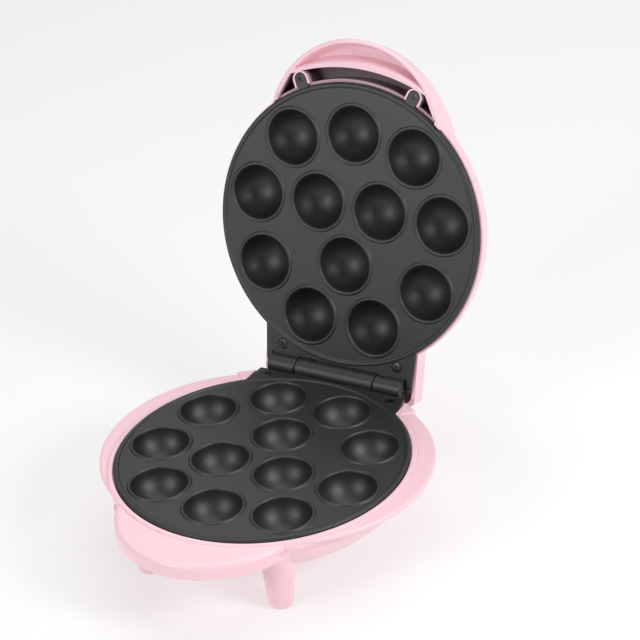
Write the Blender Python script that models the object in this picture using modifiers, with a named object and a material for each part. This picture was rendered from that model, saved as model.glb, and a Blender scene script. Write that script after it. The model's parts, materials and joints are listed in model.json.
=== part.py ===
"""Ball cake maker: a two-plate clamshell baker on four feet, with its lid open on its stop.

Everything is drawn about the middle of the baking plates, on the plane where they part: the
handles face -Y and the hinge +Y. The lid is drawn closed, on an empty that turns it open.
"""

import math

import bmesh
import bpy
from mathutils import Matrix, Vector

# Sizes in metres. Heights are measured away from the parting plane, down in the base and up in the lid.

LID_OPEN = math.radians(105.8)

# Baking plates
PLATE_RADIUS = 0.097
PLATE_SHEET = 0.0025
PLATE_FLOOR = 0.0013
RIM_TOP = 0.0003
RIM_WIDTH = 0.0028
RIM_SETBACK = 0.0006
CUP_RADIUS = 0.0184
CUP_WALL = 0.0022
CUP_LIP = 0.0024
OUTER_RING = PLATE_RADIUS - CUP_RADIUS - 0.0080
FRONT_CUP = OUTER_RING - 0.00755
INNER_RING = OUTER_RING * 0.381
BOSS_RADIUS = 0.004
BOSS_RING = PLATE_RADIUS - 0.0195
BOSS_ANGLES = (-140, -60, 60, 140)
EAR_ANGLE = 24.2
EAR_SCREW_RING = PLATE_RADIUS + 0.0062
EAR_WIDTH = 0.0078

# Hinge
HINGE_Y = PLATE_RADIUS + 0.00766
KNUCKLE_RADIUS = 0.0068
KNUCKLE_SPAN = 0.0508
MIDDLE_KNUCKLE = KNUCKLE_SPAN * 0.587
KNUCKLE_GAP = 0.0005
PIN_RADIUS = 0.0023
PIN_PLAY = 0.0003
TAB_ROOT = KNUCKLE_SPAN + 0.0065
TAB_WIDTH = TAB_ROOT - 0.0020
TAB_SCREW_Y = HINGE_Y - 0.01366
LOWER_TAB_SCREW_X = KNUCKLE_SPAN - 0.0031
UPPER_TAB_SCREW_X = KNUCKLE_SPAN - 0.0071

# Housings
WALL = 0.0025
FIT = 0.0003
SEAT_DEPTH = PLATE_FLOOR + PLATE_SHEET + FIT
BRIM_TOP = 0.0033
BRIM_EDGE = 0.0062
BRIM_RADIUS = PLATE_RADIUS - 0.0030
BRIM_OFFSET = (0.0185, 0.006)
RING_RADIUS = PLATE_RADIUS + 0.0040
RING_TOP = 0.002
BOWL_RADIUS = PLATE_RADIUS + 0.0015
BOWL_START = 0.008
BOWL_HEIGHT = 0.044
BOWL_FLOOR = BOWL_START + BOWL_HEIGHT - 0.0060
REAR_RADIUS = PLATE_RADIUS + 0.0140
REAR_HALF_ANGLE = 38.5
REAR_DEPTH = BOWL_FLOOR - 0.0060
DOME_RADIUS = PLATE_RADIUS + 0.0014
DOME_START = 0.008
DOME_HEIGHT = 0.047
HANDLE_RADIUS = 0.0637
HANDLE_CENTRE = PLATE_RADIUS - 0.0343
HANDLE_CORNER = PLATE_RADIUS - 0.0160
HANDLE_TOP = 0.0029
HANDLE_BOTTOM = 0.0134
LID_HANDLE_EDGE = 0.0006
LID_HANDLE_WALL = 0.0032
LID_HANDLE_SIDE = 0.0105
LID_HANDLE_TOP = 0.033
LID_HANDLE_DRAFT = 0.2
LID_HANDLE_SWEEP = 0.045
TROUGH_OUTER = EAR_SCREW_RING + 0.0044
TROUGH_HALF_ANGLE = 30.0
TROUGH_DEPTH = 0.016
RECESS_INNER = TROUGH_OUTER + 0.0029
RECESS_FLOOR = 0.0115
BLOCK_WIDTH = TAB_ROOT + 0.0002
BLOCK_BACK = 0.0135
BLOCK_DEPTH = 0.0215

# Feet
FOOT_PLACE = (PLATE_RADIUS * 0.499, PLATE_RADIUS * 0.7237)
REAR_FOOT_Y = PLATE_RADIUS - 0.0160
FOOT_LENGTH = BOWL_FLOOR + 0.0116
FOOT_TIP = 0.0082
FOOT_TAPER = 0.089
PAD_RADIUS = 0.0050
PAD_PROUD = 0.0008
PAD_THICKNESS = 0.0020
PAD_STEM = 0.0020
PAD_STEM_LENGTH = 0.0045

# Heater and electrics
HEATER_RING = (INNER_RING + OUTER_RING) / 2 - 0.00175
HEATER_RADIUS = 0.0032
HEATER_DEPTH = CUP_RADIUS + CUP_WALL + 0.0004
HEATER_GAP_ANGLE = 14.0
HEATER_END_Y = PLATE_RADIUS - 0.0210
HEATER_PIN_RADIUS = 0.0014
HEATER_PIN_LENGTH = 0.0055
CLAMP_ANGLES = (20, 140, -100)
CLAMP_SHEET = 0.0009
CLAMP_WIDTH = 0.0080
CLAMP_FOOT = 0.0070
HEATER_PLAY = 0.0007
PAN_SHEET = 0.0009
PAN_TOP = HEATER_DEPTH + HEATER_RADIUS + 0.0004
PAN_RADIUS = PLATE_RADIUS - 0.0145
PAN_RIM_RADIUS = PAN_RADIUS + 0.0037
PAN_RIM_TOP = PAN_TOP - 0.0071
LENS_RADIUS = 0.0042
LENS_PLACES = (("power", -0.0095), ("ready", 0.0095))
LENS_Y = -PLATE_RADIUS * 0.5361
LENS_FLANGE = 0.0056
GLAND_RADIUS = 0.0052
GLAND_HOLE = 0.0031
GLAND_DEPTH = 0.0290

# Facets round each kind of turned shape
PLATE_STEPS = 48
SHELL_STEPS = 40
CUP_STEPS = 12
SMALL_STEPS = 10

# Screws
SCREW_RADIUS = 0.0014
SCREW_HOLE = 0.0017
TAB_SCREW_HEAD = 0.0033
TAB_SCREW_LENGTH = 0.0095
SMALL_HEAD = 0.0026
SMALL_HEAD_HEIGHT = 0.0014
SMALL_SCREW_LENGTH = 0.0060
CLAMP_SCREW_LENGTH = 0.0032

DOWN, UP = -1, 1


def cleared_scene():
    for obj in list(bpy.data.objects):
        bpy.data.objects.remove(obj, do_unlink=True)
    parts = bpy.data.collections.new("ball_cake_maker")
    cutters = bpy.data.collections.new("cutters")
    for group in (parts, cutters):
        bpy.context.scene.collection.children.link(group)
    return parts, cutters


PARTS, CUTTERS = cleared_scene()


def material(name, colour, roughness, metallic=0.0):
    made = bpy.data.materials.new(name)
    made.use_nodes = True
    shader = made.node_tree.nodes["Principled BSDF"]
    shader.inputs["Base Color"].default_value = (*colour, 1.0)
    shader.inputs["Roughness"].default_value = roughness
    shader.inputs["Metallic"].default_value = metallic
    return made


PINK = material("pink_plastic", (0.89, 0.52, 0.58), 0.35)
COATING = material("black_nonstick_coating", (0.045, 0.047, 0.048), 0.42, 0.2)
STEEL = material("zinc_plated_steel", (0.55, 0.55, 0.54), 0.35, 1.0)
DARK_STEEL = material("black_screw_steel", (0.06, 0.06, 0.06), 0.4, 0.8)
HEATER_METAL = material("heater_sheath", (0.30, 0.29, 0.27), 0.5, 0.9)
PAN_METAL = material("aluminised_sheet", (0.62, 0.62, 0.60), 0.3, 1.0)
RUBBER = material("grey_rubber", (0.12, 0.12, 0.12), 0.8)
CERAMIC = material("white_ceramic", (0.80, 0.78, 0.72), 0.6)
RED_LENS = material("red_lens", (0.70, 0.05, 0.04), 0.15)
GREEN_LENS = material("green_lens", (0.05, 0.45, 0.10), 0.15)
GLASS = material("lamp_glass", (0.75, 0.70, 0.65), 0.1)
BOARD = material("lamp_board", (0.50, 0.36, 0.20), 0.6)
DARK_PLASTIC = material("black_plastic", (0.03, 0.03, 0.03), 0.5)


def polar(radius, degrees, z=0.0):
    """A point at this angle from the handle side, positive towards +X."""
    angle = math.radians(degrees)
    return Vector((radius * math.sin(angle), -radius * math.cos(angle), z))


def arc(centre, radius, start, end, steps):
    """Points of a level arc, its angles in degrees from the handle side."""
    turns = [start + (end - start) * i / steps for i in range(steps + 1)]
    return [Vector((*centre, 0.0)) + polar(radius, turn) for turn in turns]


def quarter(radius, height, base, steps, flat=0.0):
    """(r, z) points of a quarter ellipse from its equator, at height base, towards the axis."""
    last = math.acos(min(1.0, flat / radius))
    angles = [last * i / steps for i in range(steps + 1)]
    return [(radius * math.cos(a), base + height * math.sin(a)) for a in angles]


def linked(name, data, group, finish=None):
    obj = bpy.data.objects.new(name, data)
    group.objects.link(obj)
    if finish:
        data.materials.append(finish)
    return obj


def tidied(bm, mesh):
    bmesh.ops.remove_doubles(bm, verts=bm.verts, dist=1e-6)
    bmesh.ops.recalc_face_normals(bm, faces=bm.faces)
    bm.to_mesh(mesh)
    bm.free()
    mesh.shade_smooth()
    mesh.set_sharp_from_angle(angle=math.radians(35))
    return mesh


def evaluated_mesh(obj, name):
    """The object's shape with its modifiers or its curve made real, and the object removed."""
    bpy.context.view_layer.update()
    graph = bpy.context.evaluated_depsgraph_get()
    mesh = bpy.data.meshes.new_from_object(obj.evaluated_get(graph))
    mesh.transform(obj.matrix_world)
    bpy.data.objects.remove(obj, do_unlink=True)
    bm = bmesh.new()
    bm.from_mesh(mesh)
    mesh.name = name
    mesh.materials.clear()
    return tidied(bm, mesh)


def turned(name, profile, steps=40, centre=(0.0, 0.0)):
    """A (r, z) profile swept about a vertical axis by a Screw modifier."""
    ring = profile[0][0] > 0 and profile[-1][0] > 0
    area = sum(
        a[0] * b[1] - b[0] * a[1] for a, b in zip(profile, profile[1:] + profile[:1])
    )
    if area > 0:
        profile = profile[::-1]
    mesh = bpy.data.meshes.new(name)
    count = len(profile)
    edges = [(i, (i + 1) % count) for i in range(count if ring else count - 1)]
    mesh.from_pydata([(r, 0.0, z) for r, z in profile], edges, [])
    obj = linked(name, mesh, CUTTERS)
    obj.location = (*centre, 0.0)
    screw = obj.modifiers.new("turn", "SCREW")
    screw.steps = steps
    screw.render_steps = steps
    screw.use_merge_vertices = True
    screw.merge_threshold = 1e-5
    return evaluated_mesh(obj, name)


def flat_piece(name, outline, low, high):
    """A level outline with thickness, from a filled 2D curve."""
    curve = bpy.data.curves.new(name, "CURVE")
    curve.dimensions = "2D"
    curve.fill_mode = "BOTH"
    curve.extrude = abs(high - low) / 2
    spline = curve.splines.new("POLY")
    spline.points.add(len(outline) - 1)
    for point, place in zip(spline.points, outline):
        point.co = (place[0], place[1], 0.0, 1.0)
    spline.use_cyclic_u = True
    obj = linked(name, curve, CUTTERS)
    obj.location.z = (low + high) / 2
    return evaluated_mesh(obj, name)


def tube(name, points, radius):
    curve = bpy.data.curves.new(name, "CURVE")
    curve.dimensions = "3D"
    curve.bevel_depth = radius
    curve.bevel_resolution = 1
    curve.use_fill_caps = True
    spline = curve.splines.new("POLY")
    spline.points.add(len(points) - 1)
    for point, place in zip(spline.points, points):
        point.co = (*place, 1.0)
    return evaluated_mesh(linked(name, curve, CUTTERS), name)


def lofted(name, rings):
    """A closed skin over level rings that have the same number of points."""
    bm = bmesh.new()
    rows = [[bm.verts.new(point) for point in ring] for ring in rings]
    count = len(rows[0])
    for lower, upper in zip(rows, rows[1:]):
        for i in range(count):
            j = (i + 1) % count
            bm.faces.new((lower[i], lower[j], upper[j], upper[i]))
    bm.faces.new(rows[0][::-1])
    bm.faces.new(rows[-1])
    return tidied(bm, bpy.data.meshes.new(name))


def box(name, low, high):
    bm = bmesh.new()
    bmesh.ops.create_cube(bm, size=1.0)
    low, high = Vector(low), Vector(high)
    size = Matrix.Diagonal((*(high - low), 1.0))
    bm.transform(Matrix.Translation((low + high) / 2) @ size)
    return tidied(bm, bpy.data.meshes.new(name))


def rod(name, start, end, radius, end_radius=None, sides=16):
    """A cylinder, or a cone where the second radius differs, between two points."""
    start, end = Vector(start), Vector(end)
    run = end - start
    bm = bmesh.new()
    bmesh.ops.create_cone(
        bm,
        cap_ends=True,
        segments=sides,
        radius1=radius,
        radius2=radius if end_radius is None else end_radius,
        depth=run.length,
    )
    turn = run.to_track_quat("Z", "Y").to_matrix().to_4x4()
    bm.transform(Matrix.Translation((start + end) / 2) @ turn)
    return tidied(bm, bpy.data.meshes.new(name))


def repeated(mesh, places):
    """One mesh that holds a copy of this one at each place."""
    bm = bmesh.new()
    for place in places:
        copy = mesh.copy()
        copy.transform(place)
        bm.from_mesh(copy)
    return tidied(bm, bpy.data.meshes.new(mesh.name + "_set"))


def combined(obj, mesh, operation):
    """Adds a Boolean whose other shape is kept as a hidden wire guide under the same parent."""
    guide = linked(f"{obj.name}_{operation.lower()}_{mesh.name}", mesh, CUTTERS)
    guide.hide_render = True
    guide.display_type = "WIRE"
    guide.parent = obj.parent
    guide.location = obj.location
    boolean = obj.modifiers.new(mesh.name, "BOOLEAN")
    boolean.operation = operation
    boolean.solver = "EXACT"
    boolean.object = guide


def fuse(obj, *meshes):
    for mesh in meshes:
        combined(obj, mesh, "UNION")


def cut(obj, *meshes):
    for mesh in meshes:
        combined(obj, mesh, "DIFFERENCE")


ROOT = bpy.data.objects.new("ball_cake_maker", None)
LID = bpy.data.objects.new("lid", None)
for empty in (ROOT, LID):
    PARTS.objects.link(empty)
LID.parent = ROOT
LID.location = (0.0, HINGE_Y, 0.0)
LID.rotation_euler = (-LID_OPEN, 0.0, 0.0)


def part(name, mesh, finish, side):
    """A finished piece on the base (DOWN) or on the lid (UP), whose empty is on the hinge's axis."""
    obj = linked(name, mesh, PARTS, finish)
    obj.parent = LID if side == UP else ROOT
    obj.location.y = -HINGE_Y if side == UP else 0.0
    return obj


# The screws


def cross_recess(radius, depth):
    """The driver's cross, as two crossed bars that sink into a head."""
    arm, half = radius * 0.62, radius * 0.15
    return [
        box("bar", (-arm, -half, -depth), (arm, half, depth)),
        box("bar", (-half, -arm, -depth * 1.02), (half, arm, depth * 1.02)),
    ]


def countersunk_screw(name, place, side, length=TAB_SCREW_LENGTH, head=TAB_SCREW_HEAD):
    """A flat-headed screw that points away from the parting plane; place is its head's top."""
    face = -side
    cone = head - SCREW_RADIUS
    profile = [
        (0.0, 0.0),
        (head, 0.0),
        (head, face * -0.0004),
        (SCREW_RADIUS, face * -(0.0004 + cone)),
        (SCREW_RADIUS, face * -length),
        (0.0, face * -(length + SCREW_RADIUS)),
    ]
    mesh = turned(name, profile, SMALL_STEPS)
    mesh.transform(Matrix.Translation(place))
    screw = part(name, mesh, DARK_STEEL, side)
    for bar in cross_recess(head, 0.0011):
        bar.transform(Matrix.Translation(place))
        cut(screw, bar)
    return screw


def pan_screw(name, place, side, facing, length):
    """A round-headed screw whose head faces this way, up or down; place is under its head."""
    profile = [
        (0.0, facing * SMALL_HEAD_HEIGHT),
        (SMALL_HEAD * 0.7, facing * SMALL_HEAD_HEIGHT),
        (SMALL_HEAD, 0.0),
        (SCREW_RADIUS, 0.0),
        (SCREW_RADIUS, -facing * length),
        (0.0, -facing * length),
    ]
    mesh = turned(name, profile, SMALL_STEPS)
    mesh.transform(Matrix.Translation(place))
    screw = part(name, mesh, STEEL, side)
    half = SMALL_HEAD * 0.16
    tip = facing * SMALL_HEAD_HEIGHT
    slot = box("slot", (-SMALL_HEAD, -half, tip - 0.0006), (SMALL_HEAD, half, tip + 0.0006))
    slot.transform(Matrix.Translation(place))
    cut(screw, slot)
    return screw


# The baking plates


def cup_places():
    """The middles of the twelve cups: one in front, eight round the edge, three inside."""
    places = [polar(FRONT_CUP, 0)]
    places += [polar(OUTER_RING, turn) for turn in (40, 80, 120, 160, -40, -80, -120, -160)]
    places += [polar(INNER_RING, turn) for turn in (60, 180, -60)]
    return places


def plate_outline(side):
    """A circle with the hinge tab, whose steps leave room for the other plate's knuckles."""
    corner = 180 - math.degrees(math.asin(TAB_ROOT / PLATE_RADIUS))
    points = arc((0.0, 0.0), PLATE_RADIUS, -corner, corner, PLATE_STEPS)
    clear = HINGE_Y - KNUCKLE_RADIUS - KNUCKLE_GAP
    reach = HINGE_Y - KNUCKLE_RADIUS * 0.5
    inner = MIDDLE_KNUCKLE if side == DOWN else MIDDLE_KNUCKLE + KNUCKLE_GAP
    if side == DOWN:
        steps = [(TAB_WIDTH, clear), (inner, clear), (inner, reach)]
    else:
        outer = KNUCKLE_SPAN - KNUCKLE_GAP
        steps = [(TAB_WIDTH, clear), (outer, clear), (outer, reach), (inner, reach), (inner, clear)]
    right = [Vector((x, y, 0.0)) for x, y in steps]
    left = [Vector((-x, y, 0.0)) for x, y in reversed(steps)]
    return points + right + left


def cup_solid(side):
    outer = CUP_RADIUS + CUP_WALL
    lip = CUP_RADIUS + CUP_LIP
    sphere = quarter(outer, outer, RIM_TOP, 3)
    wall = [(r, z) for r, z in sphere if z > PLATE_FLOOR]
    profile = [(0.0, RIM_TOP), (lip - 0.0008, RIM_TOP), (lip, RIM_TOP + 0.0008)]
    profile += [(lip, PLATE_FLOOR + PLATE_SHEET * 0.5)]
    return turned("cup_bodies", shifted(profile + wall, side), CUP_STEPS)


def cup_hollow(side):
    profile = [(0.0, -0.004), (CUP_RADIUS, -0.004)] + quarter(CUP_RADIUS, CUP_RADIUS, RIM_TOP, 4)
    return turned("cup_hollows", shifted(profile, side), CUP_STEPS)


def knuckle(name, start, end):
    """One barrel of the hinge along X, its edges eased."""
    ease = 0.0008
    return lofted(
        name,
        [
            [Vector((x, HINGE_Y + r * math.cos(a), r * math.sin(a))) for a in knuckle_angles()]
            for x, r in (
                (start, KNUCKLE_RADIUS - ease),
                (start + ease, KNUCKLE_RADIUS),
                (end - ease, KNUCKLE_RADIUS),
                (end, KNUCKLE_RADIUS - ease),
            )
        ],
    )


def knuckle_angles():
    return [2 * math.pi * i / 20 for i in range(20)]


def baking_plate(name, side):
    outline = plate_outline(side)
    floor, back = side * PLATE_FLOOR, side * (PLATE_FLOOR + PLATE_SHEET)
    plate = part(name, flat_piece(name, outline, min(floor, back), max(floor, back)), COATING, side)
    rim_outer = PLATE_RADIUS - RIM_SETBACK
    rim = [
        (rim_outer - 0.0006, side * RIM_TOP),
        (rim_outer, side * (PLATE_FLOOR + PLATE_SHEET / 2)),
        (rim_outer - RIM_WIDTH, side * (PLATE_FLOOR + PLATE_SHEET / 2)),
        (rim_outer - RIM_WIDTH, side * RIM_TOP),
    ]
    fuse(plate, turned("rim", rim, PLATE_STEPS))
    places = [Matrix.Translation(place) for place in cup_places()]
    fuse(plate, repeated(cup_solid(side), places))
    boss_tip = side * (PAN_TOP - FIT)
    for turn in BOSS_ANGLES:
        start, end = polar(BOSS_RING, turn, back - side * 0.001), polar(BOSS_RING, turn, boss_tip)
        fuse(plate, rod("boss", start, end, BOSS_RADIUS + 0.0006, BOSS_RADIUS, SMALL_STEPS))
    if side == DOWN:
        fuse(plate, knuckle("middle_knuckle", -MIDDLE_KNUCKLE, MIDDLE_KNUCKLE))
    else:
        inner = MIDDLE_KNUCKLE + KNUCKLE_GAP
        fuse(plate, knuckle("left_knuckle", -KNUCKLE_SPAN, -inner))
        fuse(plate, knuckle("right_knuckle", inner, KNUCKLE_SPAN))
        for turn in (-EAR_ANGLE, EAR_ANGLE):
            fuse(plate, ear(turn, floor, back))
    cut(plate, repeated(cup_hollow(side), places))
    reach = KNUCKLE_SPAN + 0.002
    bore = PIN_RADIUS + PIN_PLAY
    cut(plate, rod("pin_bore", (-reach, HINGE_Y, 0.0), (reach, HINGE_Y, 0.0), bore))
    for turn in BOSS_ANGLES:
        start = polar(BOSS_RING, turn, boss_tip + side * 0.001)
        end = polar(BOSS_RING, turn, boss_tip - side * (SMALL_SCREW_LENGTH + 0.0012))
        cut(plate, rod("boss_hole", start, end, SCREW_HOLE, sides=8))
    for spot in tab_screw_places(side) + (ear_screw_places() if side == UP else []):
        cut(plate, countersink(spot, side))
    return plate


def ear(turn, floor, back):
    """A rounded lug that stands out past the rim and takes a screw."""
    half = EAR_WIDTH / 2
    middle = Vector((EAR_SCREW_RING, 0, 0))
    tip = [middle + half * Vector((math.cos(a), math.sin(a), 0)) for a in ear_angles()]
    root = [Vector((PLATE_RADIUS - 0.003, half, 0)), Vector((PLATE_RADIUS - 0.003, -half, 0))]
    spin = Matrix.Rotation(math.radians(turn - 90), 4, "Z")
    outline = [spin @ point for point in root + tip]
    inset = (back - floor) * 0.06
    return flat_piece("ear", outline, min(floor, back) + abs(inset), max(floor, back) - abs(inset))


def ear_angles():
    return [math.pi * (i / 6 - 0.5) for i in range(7)]


def tab_screw_places(side):
    across = LOWER_TAB_SCREW_X if side == DOWN else UPPER_TAB_SCREW_X
    return [Vector((x, TAB_SCREW_Y, side * (PLATE_FLOOR + 0.0002))) for x in (-across, across)]


def ear_screw_places():
    height = PLATE_FLOOR + 0.0004
    return [polar(EAR_SCREW_RING, turn, height) for turn in (-EAR_ANGLE, EAR_ANGLE)]


def countersink(spot, side):
    """Clearance round a flat-headed screw, deep enough to pass the sheet."""
    head = TAB_SCREW_HEAD + FIT
    cone = TAB_SCREW_HEAD - SCREW_RADIUS
    profile = [
        (0.0, -side * 0.002),
        (head, -side * 0.002),
        (head, side * (0.0004 + FIT)),
        (SCREW_RADIUS + FIT, side * (0.0004 + cone + FIT)),
        (SCREW_RADIUS + FIT, side * 0.006),
        (0.0, side * 0.006),
    ]
    mesh = turned("countersink", profile, SMALL_STEPS)
    mesh.transform(Matrix.Translation(spot))
    return mesh


# The housings


def shifted(profile, side):
    return [(r, side * z) for r, z in profile]


def handle_disc(name, low, high, ease):
    """The round lobe of a handle, in front of its two corners."""
    radius = HANDLE_RADIUS
    profile = [
        (0.0, high),
        (radius - ease, high),
        (radius - ease * 0.3, high - ease * 0.3),
        (radius, high - ease),
        (radius, low),
        (0.0, low),
    ]
    return turned(name, profile, SHELL_STEPS, centre=(0.0, -HANDLE_CENTRE))


def lower_housing():
    """The bowl with its oval brim, closed handle, square rear and four cast-on feet."""
    bowl = [(0.0, -BRIM_TOP - 0.002), (BOWL_RADIUS, -BRIM_TOP - 0.002)]
    flat = BOWL_RADIUS * math.sqrt(1 - ((BOWL_FLOOR - BOWL_START) / BOWL_HEIGHT) ** 2)
    bowl += [(r, -z) for r, z in quarter(BOWL_RADIUS, BOWL_HEIGHT, BOWL_START, 5, flat)]
    bowl += [(0.0, -BOWL_FLOOR)]
    housing = part("lower_housing", turned("bowl", bowl, SHELL_STEPS), PINK, DOWN)
    brim = [
        (0.0, -BRIM_TOP),
        (BRIM_RADIUS - 0.0008, -BRIM_TOP),
        (BRIM_RADIUS, -BRIM_TOP - 0.0008),
        (BRIM_RADIUS, -BRIM_EDGE),
        (BRIM_RADIUS - 0.007, -BRIM_EDGE - 0.0028),
        (0.0, -BRIM_EDGE - 0.0040),
    ]
    across, back = BRIM_OFFSET
    for x in (-across, across):
        fuse(housing, turned("brim", brim, SHELL_STEPS, centre=(x, back)))
    ring = [(0.0, -RING_TOP), (RING_RADIUS - 0.0005, -RING_TOP), (RING_RADIUS, -RING_TOP - 0.0005)]
    ring += [(RING_RADIUS, -BRIM_EDGE - 0.001), (0.0, -BRIM_EDGE - 0.001)]
    fuse(housing, turned("raised_ring", ring, PLATE_STEPS))
    fuse(housing, lower_handle(), rear_block(0.0, RING_TOP + 0.0004, REAR_DEPTH))
    for x, y in foot_places():
        start, end = Vector((x, y, -0.012)), Vector((x, y, -FOOT_LENGTH))
        top = FOOT_TIP + FOOT_TAPER * (FOOT_LENGTH - 0.012)
        fuse(housing, rod("foot", start, end, top, FOOT_TIP, sides=14))
    cut(housing, *lower_hollows())
    for x, y in foot_places():
        cut(housing, *pad_socket(x, y))
    for spot in tab_screw_places(DOWN):
        tip = spot - Vector((0.0, 0.0, TAB_SCREW_LENGTH + 0.003))
        cut(housing, rod("tab_screw_hole", spot, tip, SCREW_HOLE, sides=8))
    return housing


def lower_handle():
    """The disc of the handle, cut off square where its corners are."""
    name = "handle"
    obj = linked(name, handle_disc(name, -HANDLE_BOTTOM, -HANDLE_TOP, 0.0030), CUTTERS)
    reach = HANDLE_RADIUS + 0.01
    keep = box("handle_keep", (-reach, -HANDLE_CORNER, -0.05), (reach, reach, 0.05))
    guide = linked("handle_corner_guide", keep, CUTTERS)
    boolean = obj.modifiers.new("corners", "BOOLEAN")
    boolean.solver = "EXACT"
    boolean.operation = "DIFFERENCE"
    boolean.object = guide
    mesh = evaluated_mesh(obj, name)
    bpy.data.objects.remove(guide, do_unlink=True)
    half = HANDLE_RADIUS - 0.0042
    front, back = 0.0033 - HANDLE_CORNER, 0.0210 - HANDLE_CORNER
    low, high = 0.0010 - HANDLE_BOTTOM, -HANDLE_TOP - 0.0006
    root = box("handle_root", (-half, front, low), (half, back, high))
    return gathered_union(name, mesh, root)


def gathered_union(name, first, *others):
    """Several overlapping closed shapes made into one mesh."""
    obj = linked(name, first, CUTTERS)
    guides = []
    for mesh in others:
        guide = linked(mesh.name, mesh, CUTTERS)
        boolean = obj.modifiers.new(mesh.name, "BOOLEAN")
        boolean.solver = "EXACT"
        boolean.operation = "UNION"
        boolean.object = guide
        guides.append(guide)
    mesh = evaluated_mesh(obj, name)
    for guide in guides:
        bpy.data.objects.remove(guide, do_unlink=True)
    return mesh


def rear_wall_y():
    """Where the base's rear wall stands: the open lid's rear edge comes to rest against it."""
    back, rise = BLOCK_BACK, SEAT_DEPTH
    return HINGE_Y + back * math.cos(LID_OPEN) + rise * math.sin(LID_OPEN) - FIT


def rear_block(shrink, top, bottom):
    """The rear of the bowl: a sector round the hinge tab, cut flat under the hinge."""
    radius = REAR_RADIUS - shrink
    half = REAR_HALF_ANGLE - math.degrees(shrink / radius)
    flat_y = rear_wall_y() - shrink
    flat_turn = math.degrees(math.acos(flat_y / radius))
    outline = arc((0.0, 0.0), radius, 180 - half, 180 - flat_turn, 6)
    outline += arc((0.0, 0.0), radius, 180 + flat_turn, 180 + half, 6)
    inner = 0.055
    outline += [Vector((-inner * 0.6, inner, 0.0)), Vector((inner * 0.6, inner, 0.0))]
    return flat_piece("rear_block", outline, -bottom, -top)


def lower_hollows():
    seat = PLATE_RADIUS + 0.0005
    inner = BOWL_RADIUS - WALL
    depth = BOWL_HEIGHT - WALL
    floor = BOWL_FLOOR - WALL
    flat = inner * math.sqrt(1 - ((floor - BOWL_START) / depth) ** 2)
    well = [(0.0, 0.004), (seat, 0.004), (seat, -SEAT_DEPTH), (inner - 0.0015, -SEAT_DEPTH)]
    well += [(inner - 0.0015, -BOWL_START)]
    well += [(r, -z) for r, z in quarter(inner, depth, BOWL_START, 5, flat)][1:]
    well += [(0.0, -floor)]
    tab_half = TAB_ROOT + 0.0005
    tab = box("tab_seat", (-tab_half, 0.060, -SEAT_DEPTH), (tab_half, HINGE_Y + 0.02, 0.004))
    reach = TAB_ROOT + 0.0005
    groove_radius = KNUCKLE_RADIUS + 0.0008
    start, end = (-reach, HINGE_Y, 0.0), (reach, HINGE_Y, 0.0)
    groove = rod("knuckle_groove", start, end, groove_radius, sides=24)
    room = rear_block(WALL, 0.0165, REAR_DEPTH - WALL)
    start = (0.0, rear_wall_y() - 0.01, -GLAND_DEPTH)
    end = (0.0, rear_wall_y() + 0.01, -GLAND_DEPTH)
    gland = rod("gland_hole", start, end, GLAND_RADIUS + FIT, sides=SMALL_STEPS)
    return [turned("well", well, PLATE_STEPS), tab, groove, room, gland]


def foot_places():
    x, y = FOOT_PLACE
    return [(-x, -y), (x, -y), (-x, REAR_FOOT_Y), (x, REAR_FOOT_Y)]


def pad_socket(x, y):
    """The recess and stem hole in a foot's end."""
    floor = -FOOT_LENGTH + PAD_THICKNESS - PAD_PROUD + FIT
    recess = rod("pad_recess", (x, y, -FOOT_LENGTH - 0.001), (x, y, floor), PAD_RADIUS + FIT)
    top = floor + PAD_STEM_LENGTH + FIT
    stem = rod("pad_stem_hole", (x, y, -FOOT_LENGTH - 0.001), (x, y, top), PAD_STEM + FIT, sides=12)
    return recess, stem


def foot_pads():
    low = -FOOT_LENGTH - PAD_PROUD
    high = low + PAD_THICKNESS
    names = ("front_left", "front_right", "rear_left", "rear_right")
    for name, (x, y) in zip(names, foot_places()):
        profile = [(0.0, low), (PAD_RADIUS, low), (PAD_RADIUS, high), (PAD_STEM, high)]
        profile += [(PAD_STEM, high + PAD_STEM_LENGTH), (0.0, high + PAD_STEM_LENGTH)]
        mesh = turned(name + "_foot_pad", profile, SMALL_STEPS, centre=(x, y))
        part(name + "_foot_pad", mesh, RUBBER, DOWN)


def scoop_rings(shrink, levels):
    """Level circles of the lid's handle, drawn back and in as they rise towards the dome."""
    rings = []
    for z, tip, radius in levels:
        size = radius - shrink
        centre = (0.0, -(tip - radius))
        rings.append([p + Vector((0.0, 0.0, z)) for p in arc(centre, size, 0, 360, 32)[:-1]])
    return rings


def scoop_levels(base, drop):
    """(height, reach of the tip, radius) of the lid's handle from its edge to its top."""
    reach = HANDLE_CENTRE + HANDLE_RADIUS
    levels = [(base, reach, HANDLE_RADIUS)]
    for i in range(6):
        turn = math.radians(16 * i)
        z = LID_HANDLE_SIDE + (LID_HANDLE_TOP - LID_HANDLE_SIDE) * math.sin(turn)
        retreat = LID_HANDLE_DRAFT * z + LID_HANDLE_SWEEP * (1 - math.cos(turn) ** 0.6)
        levels.append((z - drop, reach - retreat, HANDLE_RADIUS - retreat * 0.5))
    return levels


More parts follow.
